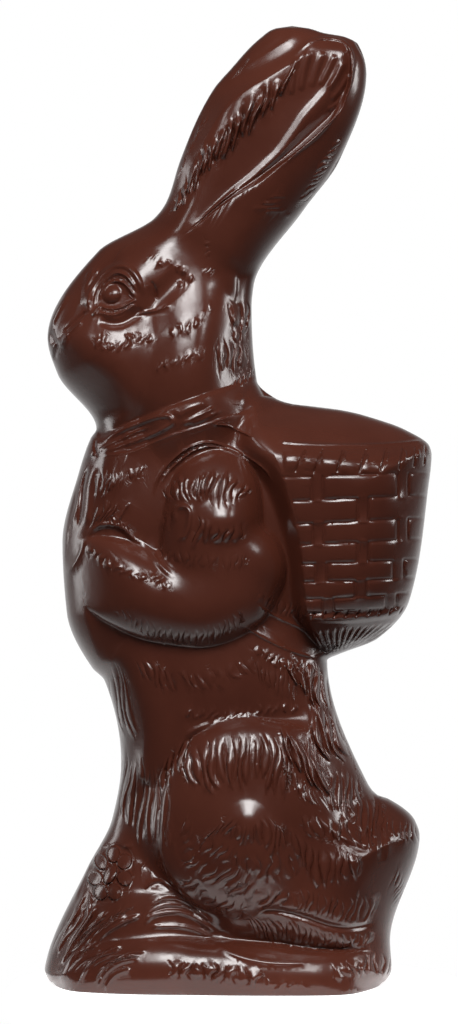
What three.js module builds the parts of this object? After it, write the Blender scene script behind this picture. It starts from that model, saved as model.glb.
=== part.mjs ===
// A moulded chocolate rabbit that stands upright on a grassy mound with a pannier basket on its back.
//
// Frame: origin on the table under the middle of the figure, +Z up, the rabbit looks along -X,
// its basket is on the +X side, and the mould's parting plane is Y = 0. Millimetres.
//
// The figure comes out of a two-part mould, so neither half has an undercut: over every point
// (x, z) of the parting plane a half is just so deep. The form is worked out as that depth,
// squared and signed, with blocked-out masses joined by fillets and rounded off at the outline.

import * as THREE from 'three';
import { mergeVertices } from 'three/addons/utils/BufferGeometryUtils.js';

// ---- Driving dimensions ----

const HEIGHT = 239;
const TOP_RING = 238.4;
const CROWN_X = 13.5;
const BASE_CENTRE_X = -5;

const COLUMNS = 56;
const EVEN_SPREAD = 0.45;

// Heights at which the rings of vertices sit: from one height up to the next in so many steps.
const RING_BANDS = [
  [0, 2.4, 3],
  [2.4, 46.4, 17],
  [46.4, 80.4, 12],
  [80.4, 92.2, 6],
  [92.2, 126.2, 14],
  [126.2, 134.4, 4],
  [134.4, 146, 8],
  [146, 190, 16],
  [190, TOP_RING, 17],
];

// The outline seen from the side: [height, reach].
const OUTLINE_FRONT = [
  [0, -46], [0.4, -46.9], [3.2, -48.3], [5.9, -47.8], [28.5, -37.7], [41, -31.4], [54.8, -29.2],
  [75.5, -33.4], [78.5, -36.4], [92.3, -42.8], [109.8, -43.9], [127.3, -39.8], [136, -36.8],
  [138.3, -35.4], [152, -45.1], [161, -47.6], [182.8, -34.8], [191, -20.8], [195, -17.9],
  [205.5, -14.4], [222.9, -6.3], [228, -2], [236.3, 6], [238.3, 9.2], [HEIGHT, CROWN_X],
];
const OUTLINE_BACK = [
  [0, 35.8], [0.4, 36.6], [3.4, 38.4], [10.3, 38], [36.6, 45.4], [40.3, 44.3], [45.8, 37.6],
  [46.8, 34.8], [50.5, 32], [80.6, 22.3], [81.8, 24.8], [85.8, 34.8], [95.3, 42.8], [123, 47.5],
  [131.8, 48.4], [133.9, 47.9], [138.3, 41.3], [140.9, 34], [142.8, 26.7], [143.8, 19.4],
  [144.5, 13.5], [146, 9.2], [150.3, 4.7], [168.8, 3.4], [174, 3.9], [193, 16.4], [205.3, 25.3],
  [227, 32.1], [234.4, 30], [236.3, 26.5], [237.2, 21.5], [238.3, 17.9], [HEIGHT, CROWN_X],
];

// How fully the figure rounds over at its outline: [height, twice the rounding radius].
const EDGE_FULLNESS = [
  [0, 90], [2.5, 80], [7, 60], [14, 44], [30, 34], [50, 30], [80, 30], [90, 36], [120, 40],
  [138, 38], [143, 30], [170, 28], [190, 24], [205, 18], [HEIGHT, 12],
];

// The rabbit without its basket: back line and half depth.
const TRUNK_BACK = [
  [0, 35.8], [5, 38.2], [40, 35.5], [56.3, 29], [80.6, 22], [110, 20], [130, 17], [140, 12],
  [150.3, 4.7], [168.8, 3.4], [178.3, 5.4], [198.8, 20.8], [213.4, 28.8], [227, 32.1],
  [236.3, 26.5], [HEIGHT, CROWN_X],
];
const TRUNK_DEPTH = [
  [0, 24.5], [3, 26], [16, 22.5], [42, 21], [68, 20.5], [88, 22.5], [115, 23], [126, 21.5],
  [133, 18.5], [139, 16.5], [150, 18.8], [158, 19.6], [177, 18.2], [191, 13], [208, 9],
  [231, 7.2], [237.6, 4.5], [HEIGHT, 0],
];
const TRUNK_FULLNESS = 2.3;

// The grassy mound in front of the feet: back line and half depth.
const MOUND_TOP = 60;
const MOUND_BACK = [[0, 14], [8, 10], [16, 4], [30, -8], [45, -16], [MOUND_TOP, -20]];
const MOUND_DEPTH = [
  [0, 24.5], [1.2, 25.5], [5, 26], [12, 24.5], [24, 21.5], [36, 17], [48, 11], [MOUND_TOP, 3],
];
const MOUND_FULLNESS = 2.4;

// The basket, round in plan: front line and half depth; its back line is the outline.
const BASKET_BOTTOM = 80.4;
const BASKET_TOP = 146;
const BASKET_FRONT = [
  [BASKET_BOTTOM, 22], [88, 18.6], [92, 17.1], [107, 15.6], [121, 12.4], [134, 8.4], [BASKET_TOP, 4],
];
const BASKET_DEPTH = [
  [BASKET_BOTTOM, 2], [83, 9], [86, 15], [90, 20], [94, 22.6], [104, 24.6], [126, 27],
  [131, 27.2], [134.5, 26.2], [137, 24.5], [140, 20.5], [143, 15], [BASKET_TOP, 8],
];
const BASKET_BELLY = 4;
const BASKET_FRONT_CURVE = 0.35;

// An ear's own frame: along its axis from the crown to the tip, and across it towards the back.
const EAR_ROOT = [-8.5, 187];
const EAR_AXIS = [0.605, 0.796];
const EAR_FLIP = -3;
const EAR_START = 2;
const EAR_END = 61;
const EAR_RIM_BAND = 3;
const EAR_RIM = [
  [-4, -7], [6, -9.5], [17, -12.7], [24, -14.2], [39, -11.4], [48, -8.8], [57, -5.5], [60, -3],
];
const EAR_CREST = [[-4, -3], [11, 1], [19, 4.2], [37, 8], [44, 8.8], [50, 7.3], [57.5, 1.9], [60, -1.5]];
const EAR_EDGE = [[-4, 16], [27, 16.2], [43.6, 13.7], [57.8, 6.9], [61.5, 0]];
const EAR_HEIGHT = [[-6, 11], [0, 13], [10, 14.6], [25, 15.6], [40, 15.6], [50, 14], [56, 12], [62, 5]];
const EAR_HOLLOW = [[-8, 0], [6, 2.2], [12, 4], [20, 5.6], [33, 6.4], [45, 6.2], [51, 5], [59, 0]];

// Blocked-out masses: rounded lumps at [x, z] with half widths, a rise over a lift off the
// parting plane, a turn in degrees, and the fillet that blends each into what is there.
const HEAD_MASSES = [
  { name: 'cheek', at: [-27.5, 155], half: [19.5, 16.5], rise: 15.5, lift: 7,
    turn: 0, power: 2.2, blend: 5 },
  { name: 'skull', at: [-12, 163], half: [16, 21], rise: 14, lift: 7, turn: 0, power: 2, blend: 5 },
  { name: 'brow', at: [-24, 173], half: [18, 11], rise: 13, lift: 7, turn: 38, power: 2, blend: 4 },
];
const TORSO_MASSES = [
  { name: 'back', at: [4, 112], half: [15, 24], rise: 13, lift: 11.5, turn: 0, power: 2.4, blend: 3 },
  { name: 'breast', at: [-29, 119], half: [14, 20], rise: 11, lift: 9.5, turn: 0, power: 2, blend: 3 },
  { name: 'belly', at: [-8, 70], half: [26, 24], rise: 8, lift: 16, turn: -20, power: 2, blend: 6 },
  { name: 'paw', at: [-37.5, 94], half: [8.5, 19.5], rise: 11, lift: 5.5,
    turn: -3, power: 2.2, blend: 2.4 },
];
const UPPER_ARM = { at: [-6.8, 111], half: [13.8, 23.5], rise: 14.5, lift: 15.5, turn: -5, power: 2.3 };
const HIND_MASSES = [
  { name: 'rump', at: [20, 46], half: [18, 24], rise: 13, lift: 12, turn: 20, power: 2.2, blend: 4.5 },
  { name: 'haunch', at: [7, 40], half: [28, 28.5], rise: 22.5, lift: 10.5, turn: -18, power: 2.4, blend: 4 },
  { name: 'hip', at: [20, 29], half: [17, 16], rise: 12, lift: 17, turn: 0, power: 2.2, blend: 4 },
  { name: 'knee', at: [-1, 39], half: [17, 16], rise: 15, lift: 19.5, turn: -20, power: 2.2, blend: 5 },
  { name: 'tail', at: [37.2, 32], half: [9.2, 14.5], rise: 11.5, lift: 6,
    turn: -6, power: 2.2, blend: 3 },
  { name: 'tail root', at: [35, 19], half: [8, 12], rise: 11, lift: 5, turn: 0, power: 2.2, blend: 3 },
];

// Limbs: beads [x, z, lift, radius] strung on a smooth line.
const FOREARM = [
  [-1, 104, 16, 13.5], [-3.5, 98, 17.5, 12.5], [-10, 95, 18.5, 11.8], [-18, 96, 18.5, 11.4],
  [-26, 99.5, 17, 11.2], [-32, 102.5, 14, 10.5], [-36, 103, 11.5, 9.5],
];
const SHANK = [[2, 15, 20, 10.5], [12, 13.5, 20.5, 10], [24, 13.5, 18.5, 9], [33, 14, 13, 7.5]];
const FOOT = [
  [-35, 5.5, 13, 11.5], [-26, 8, 17, 13], [-14, 7, 19.5, 12.5], [0, 3, 22, 11],
  [14, 1, 22.5, 10.5], [27, 1.5, 20, 9.5], [34, 2, 15, 7],
];
const BEADS_PER_LIMB = 40;
const SKIRT = 3;

// Fillets between the larger masses.
const EAR_BLEND = 2;
const ELBOW_BLEND = 3;
const ARM_BLEND = 1.6;
const BASKET_BLEND = 2.6;
const MOUND_BLEND = 2;
const LEG_BLEND = 2.2;
const LEAST_FILLET = 4;
const CLIFF = 60;
const BASKET_CLIFF = 70;

// Relief.
const RELIEF_FADE = 6;
const SCARF_TOP = [[-37, 135], [-28, 138.6], [-18.6, 142.2], [-8.4, 145.5], [-2, 147.8], [5, 151.2]];
const SCARF_HEM = [[-37, 130.4], [-27.4, 131.8], [-12.8, 136.8], [-4.8, 139.8], [8.5, 145.5]];
const SCARF_RISE = 2.2;
const BASKET_RIM = [127.6, 134.6];
const BASKET_RIM_RISE = 1.1;
const WEAVE_EDGES = [92.2, 96, 100.2, 104.5, 109.5, 114.8, 120.3, 126.2];
const WEAVE_RISE = 0.9;
const STAKE_PITCH = 22.2;
const FIRST_STAKE_X = 19.8;
const EYE = { at: [-30.6, 171.2], radius: 3.9, rise: 2.6, socket: 6.6, sunk: 1.4 };
const FLOWER = { at: [-31.5, 28.5], half: [7.4, 5], turn: 55, rise: 1.3 };
const COAT = { at: [7, 40], inner: 8, outer: 27, waves: 14, rise: 0.6 };

const COLOUR = 0x45241c;
const ROUGHNESS = 0.3;
const METALNESS = 0;

// ---- Working functions ----

const clamp = (value, low, high) => Math.min(Math.max(value, low), high);

/** 0 below 0, 1 above 1, eased in between. */
function ease(share) {
  const s = clamp(share, 0, 1);
  return s * s * (3 - 2 * s);
}

/** Slopes at the knots that keep a cubic through them from overshooting. */
function knotSlopes(knots) {
  const gaps = knots.slice(1).map((knot, i) => knot[0] - knots[i][0]);
  const chords = gaps.map((gap, i) => (knots[i + 1][1] - knots[i][1]) / gap);
  return knots.map((knot, i) => {
    if (i === 0) return chords[0];
    if (i === knots.length - 1) return chords[i - 1];
    if (chords[i - 1] * chords[i] <= 0) return 0;
    const before = 2 * gaps[i] + gaps[i - 1];
    const after = gaps[i] + 2 * gaps[i - 1];
    return (before + after) / (before / chords[i - 1] + after / chords[i]);
  });
}

/** A smooth curve through [place, value] knots, level beyond its ends. */
function curveThrough(knots) {
  const slopes = knotSlopes(knots);
  return (place) => {
    const p = clamp(place, knots[0][0], knots[knots.length - 1][0]);
    const next = clamp(knots.findIndex((knot) => knot[0] >= p), 1, knots.length - 1);
    const [start, from] = knots[next - 1];
    const [end, to] = knots[next];
    const gap = end - start;
    const u = (p - start) / gap;
    const v = 1 - u;
    const values = (1 + 2 * u) * v * v * from + u * u * (3 - 2 * u) * to;
    return values + u * v * gap * (v * slopes[next - 1] - u * slopes[next]);
  };
}

/** The smooth union of two signed squared depths, with a fillet of about blend mm. */
function join(one, other, blend) {
  const width = 2 * blend * Math.sqrt(Math.max(one, other, 0)) + LEAST_FILLET;
  const share = clamp(0.5 + (0.5 * (one - other)) / width, 0, 1);
  return other + (one - other) * share + width * share * (1 - share);
}

const squared = (depth) => Math.sign(depth) * depth * depth;

/** Rotates and shifts a point of the parting plane into a lump's own frame. */
function localPoint(x, z, [atX, atZ], turn) {
  const angle = THREE.MathUtils.degToRad(turn);
  const dx = x - atX;
  const dz = z - atZ;
  return [dx * Math.cos(angle) + dz * Math.sin(angle), dz * Math.cos(angle) - dx * Math.sin(angle)];
}

/** A rounded lump lifted off the parting plane, falling away steeply past its rim. */
function lump(x, z, mass) {
  const [s, t] = localPoint(x, z, mass.at, mass.turn);
  const out = Math.abs(s / mass.half[0]) ** mass.power + Math.abs(t / mass.half[1]) ** mass.power;
  if (out < 1) return squared(mass.lift + mass.rise * Math.sqrt(1 - out));
  return squared(mass.lift - SKIRT * mass.rise * (Math.sqrt(out) - 1));
}

/** A loft between a front and a back line that is deepest in its middle. */
function slab(x, z, front, back, depth, fullness) {
  const across = (2 * x - front - back) / Math.max(back - front, 1e-3);
  return depth * depth * (1 - Math.abs(across) ** fullness);
}

/** Beads strung evenly along a limb. */
function stringBeads(points) {
  const places = points.map((point, i) => i);
  const tracks = [0, 1, 2, 3].map((part) => curveThrough(places.map((i) => [i, points[i][part]])));
  return Array.from({ length: BEADS_PER_LIMB }, (unused, bead) => {
    const along = (bead / (BEADS_PER_LIMB - 1)) * (points.length - 1);
    return tracks.map((track) => track(along));
  });
}

/** The depth of a string of beads. */
function limb(x, z, beads) {
  let depth = -Infinity;
  for (const [beadX, beadZ, lift, radius] of beads) {
    const away = Math.hypot(x - beadX, z - beadZ);
    const rise = away < radius ? Math.sqrt(radius * radius - away * away) : SKIRT * (radius - away);
    depth = Math.max(depth, lift + rise);
  }
  return squared(depth);
}

// ---- The outline ----

const frontAt = curveThrough(OUTLINE_FRONT);
const backAt = curveThrough(OUTLINE_BACK);

/** Points all round the outline, up the front and down the back. */
function outlinePoints() {
  const steps = 160;
  const eased = (i) => HEIGHT * (0.5 - 0.5 * Math.cos((Math.PI * i) / steps));
  const heights = Array.from({ length: steps + 1 }, (unused, i) => eased(i));
  const up = heights.map((z) => new THREE.Vector2(frontAt(z), z));
  const down = heights.map((z) => new THREE.Vector2(backAt(z), z)).reverse();
  return [...up, ...down];
}

const OUTLINE = outlinePoints();

/** How far inside the outline a point is. */
function depthInside(x, z) {
  let nearest = Infinity;
  for (let i = 1; i < OUTLINE.length; i += 1) {
    const start = OUTLINE[i - 1];
    const spanX = OUTLINE[i].x - start.x;
    const spanZ = OUTLINE[i].y - start.y;
    const length = Math.max(spanX * spanX + spanZ * spanZ, 1e-9);
    const share = clamp(((x - start.x) * spanX + (z - start.y) * spanZ) / length, 0, 1);
    nearest = Math.min(nearest, Math.hypot(x - start.x - share * spanX, z - start.y - share * spanZ));
  }
  return nearest;
}

const fullnessAt = curveThrough(EDGE_FULLNESS);

/** Rounds the depth off towards the outline. */
function roundOff(depthSquared, x, z) {
  const inside = depthInside(x, z);
  const edge = inside * (fullnessAt(z) + inside);
  const width = 3 + 0.35 * edge;
  const share = clamp(0.5 + (0.5 * (edge - depthSquared)) / width, 0, 1);
  const least = edge + (depthSquared - edge) * share - width * share * (1 - share);
  return Math.max(least, 0.12 * edge);
}

// ---- The parts of the figure ----

const trunkBackAt = curveThrough(TRUNK_BACK);
const trunkDepthAt = curveThrough(TRUNK_DEPTH);
const moundBackAt = curveThrough(MOUND_BACK);
const moundDepthAt = curveThrough(MOUND_DEPTH);
const basketFrontAt = curveThrough(BASKET_FRONT);
const basketDepthAt = curveThrough(BASKET_DEPTH);
const earCurves = [EAR_RIM, EAR_CREST, EAR_EDGE, EAR_HEIGHT, EAR_HOLLOW].map(curveThrough);
const scarfTopAt = curveThrough(SCARF_TOP);
const scarfHemAt = curveThrough(SCARF_HEM);
const forearmBeads = stringBeads(FOREARM);
const shankBeads = stringBeads(SHANK);
const footBeads = stringBeads(FOOT);

/** Where a point lies on the ear of its half; the two halves show different ears. */
function earPlace(x, z, half) {
  const dx = x - EAR_ROOT[0];
  const dz = z - EAR_ROOT[1];
  const along = dx * EAR_AXIS[0] + dz * EAR_AXIS[1];
  const across = dx * EAR_AXIS[1] - dz * EAR_AXIS[0];
  const [rim, crest, edge, height, hollow] = earCurves.map((curve) => curve(along));
  return { along, across: half < 0 ? across : EAR_FLIP - across, rim, crest, edge, height, hollow };
}

/** The ear without its hollow. */
function earMass(place) {
  const near = place.rim - EAR_RIM_BAND;
  const body = slab(place.across, 0, near, Math.max(place.edge, near + 1), place.height, 2.6);
  const past = 12 * Math.max(place.along - EAR_END, 0) + 20 * Math.max(-place.along - EAR_START, 0);
  return place.along < -14 ? -400 : body - past;
}

/** The hollow of the ear, between its rim and its crest. */
function earHollow(place) {
  const share = clamp((place.across - place.rim) / Math.max(place.crest - place.rim, 0.5), 0, 1);
  const bowl = Math.sin(Math.PI * share ** 0.9) ** 0.9;
  return place.hollow * Math.max(bowl, 0) * ease((place.along + 6) / 8);
}

/** The basket, whose front merges into the rabbit's back. */
function basket(x, z) {
  const front = basketFrontAt(z);
  const back = backAt(z);
  const middle = (front + back) / 2 - BASKET_BELLY;
  const reach = (x - middle) / (back - middle);
  const across = x > middle ? reach : BASKET_FRONT_CURVE * reach;
  const body = basketDepthAt(z) ** 2 * (1 - Math.abs(across) ** 2.4);
  const above = CLIFF * Math.max(z - BASKET_TOP, 0);
  const below = CLIFF * Math.max(BASKET_BOTTOM - z, 0);
  return body - BASKET_CLIFF * Math.max(front - x, 0) - above - below;
}

const addMasses = (depth, x, z, masses) =>
  masses.reduce((sum, mass) => join(sum, lump(x, z, mass), mass.blend), depth);

/** All the masses of one half, joined. */
function masses(x, z, ear) {
  const trunk = slab(x, z, frontAt(z), trunkBackAt(z), trunkDepthAt(z), TRUNK_FULLNESS);
  let depth = join(trunk, earMass(ear), EAR_BLEND);
  depth = addMasses(depth, x, z, HEAD_MASSES);
  depth = addMasses(depth, x, z, TORSO_MASSES);
  depth = join(depth, join(lump(x, z, UPPER_ARM), limb(x, z, forearmBeads), ELBOW_BLEND), ARM_BLEND);
  depth = join(depth, basket(x, z), BASKET_BLEND);
  const mound = slab(x, z, frontAt(z), moundBackAt(z), moundDepthAt(z), MOUND_FULLNESS);
  depth = join(depth, mound - CLIFF * Math.max(z - MOUND_TOP, 0), MOUND_BLEND);
  depth = addMasses(depth, x, z, HIND_MASSES);
  depth = join(depth, limb(x, z, shankBeads), LEG_BLEND);
  return join(depth, limb(x, z, footBeads), LEG_BLEND);
}

// ---- Relief ----

/** A raised band between two edges. */
function band(place, low, high) {
  const across = (2 * place - low - high) / (high - low);
  return Math.max(1 - across ** 2, 0);
}

/** The neckerchief. */
function scarf(x, z) {
  const ends = ease((x - SCARF_TOP[0][0]) / 2) * ease((SCARF_HEM[SCARF_HEM.length - 1][0] - x) / 3);
  return SCARF_RISE * ends * band(z, scarfHemAt(x), scarfTopAt(x));
}

/** The rim of the basket, and slats that bulge over and under its stakes in turn. */
function weave(x, z) {
  const inBasket = ease((x - basketFrontAt(z) - 1) / 2);
  const rim = BASKET_RIM_RISE * band(z, BASKET_RIM[0], BASKET_RIM[1]);
  const row = WEAVE_EDGES.findIndex((edge, i) => i > 0 && z <= edge) - 1;
  if (row < 0 || z < WEAVE_EDGES[0]) return inBasket * rim;
  const rise = Math.sin((Math.PI * (z - WEAVE_EDGES[row])) / (WEAVE_EDGES[row + 1] - WEAVE_EDGES[row]));
  const phase = (2 * Math.PI * (x - FIRST_STAKE_X)) / STAKE_PITCH + row * Math.PI;
  return inBasket * (rim + WEAVE_RISE * (rise - 0.5) * (1 + 0.5 * Math.cos(phase)));
}

/** The eyeball in its socket. */
function eye(x, z) {
  const away = Math.hypot(x - EYE.at[0], z - EYE.at[1]);
  const ball = EYE.rise * Math.sqrt(Math.max(1 - (away / EYE.radius) ** 2, 0));
  return ball - EYE.sunk * Math.max(1 - (away / EYE.socket) ** 2, 0);
}

/** The daisy on the mound. */
function flower(x, z) {
  const [s, t] = localPoint(x, z, FLOWER.at, FLOWER.turn);
  const out = Math.hypot(s / FLOWER.half[0], t / FLOWER.half[1]);
  return FLOWER.rise * Math.max(1 - out ** 4, 0);
}

/** Broad locks of hair round the haunch. */
function coat(x, z) {
  const dx = x - COAT.at[0];
  const dz = z - COAT.at[1];
  const away = Math.hypot(dx, dz);
  const fade = ease((away - COAT.inner) / 6) * ease((COAT.outer - away) / 6);
  return COAT.rise * fade * Math.sin(COAT.waves * Math.atan2(dz, dx) + 0.2 * away);
}

/** How deep one half is over a point of the parting plane; half is -1 or 1. */
function depthAt(x, z, half) {
  const ear = earPlace(x, z, half);
  const depth = Math.sqrt(Math.max(roundOff(masses(x, z, ear), x, z), 0));
  const relief = scarf(x, z) + weave(x, z) + eye(x, z) + flower(x, z) + coat(x, z) - earHollow(ear);
  return depth + relief * clamp(depth / RELIEF_FADE, 0, 1);
}

// ---- The solid ----

/** The heights of all the rings, from the table up. */
function ringHeights() {
  const heights = [RING_BANDS[0][0]];
  for (const [low, high, steps] of RING_BANDS) {
    for (let i = 1; i <= steps; i += 1) heights.push(low + ((high - low) * i) / steps);
  }
  return heights;
}

/** Where on the figure a vertex of the upright unit cylinder belongs. */
function placeVertex(vertex, heights) {
  const level = Math.round((vertex.y + 0.5) * (heights.length - 1));
  const z = heights[level];
  if (Math.hypot(vertex.x, vertex.z) < 0.5) {
    return level > 0 ? vertex.set(CROWN_X, 0, HEIGHT) : vertex.set(BASE_CENTRE_X, 0, 0);
  }
  const turn = Math.acos(clamp(-vertex.x, -1, 1)) / Math.PI;
  const share = EVEN_SPREAD * turn + (1 - EVEN_SPREAD) * 0.5 * (1 - Math.cos(Math.PI * turn));
  const x = THREE.MathUtils.lerp(frontAt(z), backAt(z), share);
  const half = vertex.z > 0 ? -1 : 1;
  const onSeam = Math.abs(vertex.z) < 1e-6;
  return vertex.set(x, onSeam ? 0 : half * depthAt(x, z, half), z);
}

/** The whole figure: a cylinder whose vertices are moved onto the two halves. */
function figureGeometry() {
  const heights = ringHeights();
  const cylinder = new THREE.CylinderGeometry(1, 1, 1, COLUMNS, heights.length - 1);
  cylinder.deleteAttribute('normal');
  cylinder.deleteAttribute('uv');
  const positions = cylinder.getAttribute('position');
  const vertex = new THREE.Vector3();
  for (let i = 0; i < positions.count; i += 1) {
    placeVertex(vertex.fromBufferAttribute(positions, i), heights);
    positions.setXYZ(i, vertex.x, vertex.y, vertex.z);
  }
  const geometry = mergeVertices(cylinder, 1e-4);
  geometry.computeVertexNormals();
  return geometry;
}

const chocolate = new THREE.MeshStandardMaterial({
  name: 'chocolate',
  color: COLOUR,
  roughness: ROUGHNESS,
  metalness: METALNESS,
});

const figure = new THREE.Mesh(figureGeometry(), chocolate);
figure.name = 'figure';

const group = new THREE.Group();
group.name = 'chocolate_rabbit';
group.add(figure);

export default group;
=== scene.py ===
# %% [markdown]
# A dark chocolate rabbit from a two-part mould, with a pannier basket on its back.
# The moulded figure is one casting, so it is one piece here. A mould has no undercuts:
# seen from the side, every point of the figure has one depth over the parting plane. The
# lesson works the way a mould maker does: block out the masses, press the relief into them,
# then cast the two halves as one mesh. It could be sculpted with brushes instead, but a
# plate of depths is worked out from sizes, can't get an undercut by mistake, and comes
# out the same each time.

import math

import bpy
import numpy as np
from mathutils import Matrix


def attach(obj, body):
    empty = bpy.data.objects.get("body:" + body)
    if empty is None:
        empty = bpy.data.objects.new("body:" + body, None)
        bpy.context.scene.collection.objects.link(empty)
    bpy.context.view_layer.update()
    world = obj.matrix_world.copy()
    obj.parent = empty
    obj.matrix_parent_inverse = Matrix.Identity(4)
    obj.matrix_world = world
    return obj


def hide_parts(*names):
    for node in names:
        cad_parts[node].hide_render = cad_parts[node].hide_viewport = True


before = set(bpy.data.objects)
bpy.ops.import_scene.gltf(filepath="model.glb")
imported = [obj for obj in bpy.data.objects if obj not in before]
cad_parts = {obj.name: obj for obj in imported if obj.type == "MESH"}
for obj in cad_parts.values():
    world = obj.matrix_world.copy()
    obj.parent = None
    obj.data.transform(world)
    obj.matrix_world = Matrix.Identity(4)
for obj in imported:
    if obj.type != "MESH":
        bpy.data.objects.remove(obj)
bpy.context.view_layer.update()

# %% [markdown]
# Sizes are in millimetres until the mesh is made. The outline of the figure, seen from its
# side, is two smooth curves: how far it reaches forward and back at each height.
# A curve that never overshoots its knots keeps the profile free of ripples.

# %% Smooth curves through knots
HEIGHT = 239.0
CROWN_X = 13.5
BASE_CENTRE_X = -5.0


def curve(knots, places):
    """A smooth curve through (place, value) knots, level beyond its ends."""
    table = np.array(sorted(knots), float)
    p, v = table[:, 0], table[:, 1]
    gap = np.diff(p)
    chord = np.diff(v) / gap
    slope = np.zeros(len(p))
    slope[0], slope[-1] = chord[0], chord[-1]
    before = 2 * gap[1:] + gap[:-1]
    after = gap[1:] + 2 * gap[:-1]
    same = chord[:-1] * chord[1:] > 0
    first = np.where(same, chord[:-1], 1)
    second = np.where(same, chord[1:], 1)
    slope[1:-1] = np.where(same, (before + after) / (before / first + after / second), 0)
    t = np.clip(places, p[0], p[-1])
    i = np.clip(np.searchsorted(p, t, side="right") - 1, 0, len(gap) - 1)
    u = (t - p[i]) / gap[i]
    w = 1 - u
    values = (1 + 2 * u) * w * w * v[i] + u * u * (3 - 2 * u) * v[i + 1]
    return values + u * w * gap[i] * (w * slope[i] - u * slope[i + 1])


FRONT = [
    (0, -46), (0.4, -46.9), (3.2, -48.3), (5.9, -47.8), (28.5, -37.7), (41, -31.4),
    (54.8, -29.2), (75.5, -33.4), (78.5, -36.4), (92.3, -42.8), (109.8, -43.9),
    (127.3, -39.8), (136, -36.8), (138.3, -35.4), (152, -45.1), (161, -47.6),
    (182.8, -34.8), (191, -20.8), (195, -17.9), (205.5, -14.4), (222.9, -6.3), (228, -2),
    (236.3, 6), (238.3, 9.2), (HEIGHT, CROWN_X),
]
BACK = [
    (0, 35.8), (0.4, 36.6), (3.4, 38.4), (10.3, 38), (36.6, 45.4), (40.3, 44.3),
    (45.8, 37.6), (46.8, 34.8), (50.5, 32), (80.6, 22.3), (81.8, 24.8), (85.8, 34.8),
    (95.3, 42.8), (123, 47.5), (131.8, 48.4), (133.9, 47.9), (138.3, 41.3), (140.9, 34),
    (142.8, 26.7), (143.8, 19.4), (144.5, 13.5), (146, 9.2), (150.3, 4.7), (168.8, 3.4),
    (174, 3.9), (193, 16.4), (205.3, 25.3), (227, 32.1), (234.4, 30), (236.3, 26.5),
    (237.2, 21.5), (238.3, 17.9), (HEIGHT, CROWN_X),
]
print("outline:", len(FRONT), "knots in front,", len(BACK), "behind")

# %% [markdown]
# The plate is a grid over the parting plane, a quarter of a millimetre a cell, like the
# clay slab a relief carver works on. Each cell holds the depth of the half there, squared
# and signed: squared depths of round forms join without a kink at the outline.

# %% The plate
CELL = 0.25
PLATE_REACH, PLATE_FOOT, PLATE_HEAD = 51, -2, 242
PLATE_X = np.arange(-PLATE_REACH, PLATE_REACH + CELL / 2, CELL)
PLATE_Z = np.arange(PLATE_FOOT, PLATE_HEAD + CELL / 2, CELL)
X, Z = np.meshgrid(PLATE_X, PLATE_Z)
LEAST_FILLET = 4


def squared(depth):
    return np.sign(depth) * depth * depth


def ease(share):
    """0 below 0, 1 above 1, eased in between."""
    s = np.clip(share, 0, 1)
    return s * s * (3 - 2 * s)


def join(one, other, blend):
    """The smooth union of two squared depths, with a fillet of about blend."""
    width = 2 * blend * np.sqrt(np.maximum(np.maximum(one, other), 0)) + LEAST_FILLET
    share = np.clip(0.5 + 0.5 * (one - other) / width, 0, 1)
    return other + (one - other) * share + width * share * (1 - share)


def local(x0, z0, degrees):
    """The plate's cells in the frame of something at (x0, z0), turned by degrees."""
    c, s = math.cos(math.radians(degrees)), math.sin(math.radians(degrees))
    return (X - x0) * c + (Z - z0) * s, (Z - z0) * c - (X - x0) * s


print("plate:", X.shape[1], "by", X.shape[0], "cells")

# %% [markdown]
# The figure is blocked out in masses, as a carver roughs out cheeks, haunches and limbs.
# A slab is a loft between a front and a back line. A lump is an ellipsoid buried in the
# plate: its middle, half its width and height, its rise and its lift are given. A limb is
# a string of beads. Each is joined to what is there with a fillet.

# %% Slabs, lumps and limbs
SKIRT, FAR_BELOW = 3, -1e3


def slab(front, back, depth, fullness):
    across = (2 * X - front - back) / np.maximum(back - front, 1e-3)
    return depth * depth * (1 - np.abs(across) ** fullness)


def lump(at, half, rise, lift, turn=0, power=2.2, slope=0.0):
    """A dome of so much rise, lifted over the plate, by slope more for each millimetre up."""
    s, t = local(*at, turn)
    out = np.abs(s / half[0]) ** power + np.abs(t / half[1]) ** power
    dome = rise * np.sqrt(np.maximum(1 - out, 0))
    skirt = -SKIRT * rise * (np.sqrt(np.maximum(out, 1e-9)) - 1)
    return squared(lift + slope * (Z - at[1]) + np.where(out < 1, dome, skirt))


def limb(points, beads=60):
    """A string of beads through points given as x, z, lift and radius."""
    table = np.array(points, float)
    places = np.arange(len(points), dtype=float)
    steps = np.linspace(0, len(points) - 1, beads)
    tracks = [curve(list(zip(places, table[:, part])), steps) for part in range(4)]
    depth = np.full(X.shape, FAR_BELOW)
    for x, z, lift, radius in zip(*tracks):
        away = np.hypot(X - x, Z - z)
        rise = np.sqrt(np.maximum(radius * radius - away * away, 0))
        depth = np.maximum(depth, lift + np.where(away < radius, rise, SKIRT * (radius - away)))
    return squared(depth)


def joined(body, masses):
    """The body with named masses on it, each given as its blend and its squared depth."""
    for blend, mass in masses.values():
        body = join(body, mass, blend)
    print("joined:", ", ".join(masses))
    return body


# %% [markdown]
# The trunk runs from the table to the tips of the ears. Its depth is guessed from how such
# figures are moulded, because the photograph looks square at the parting plane.

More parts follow.
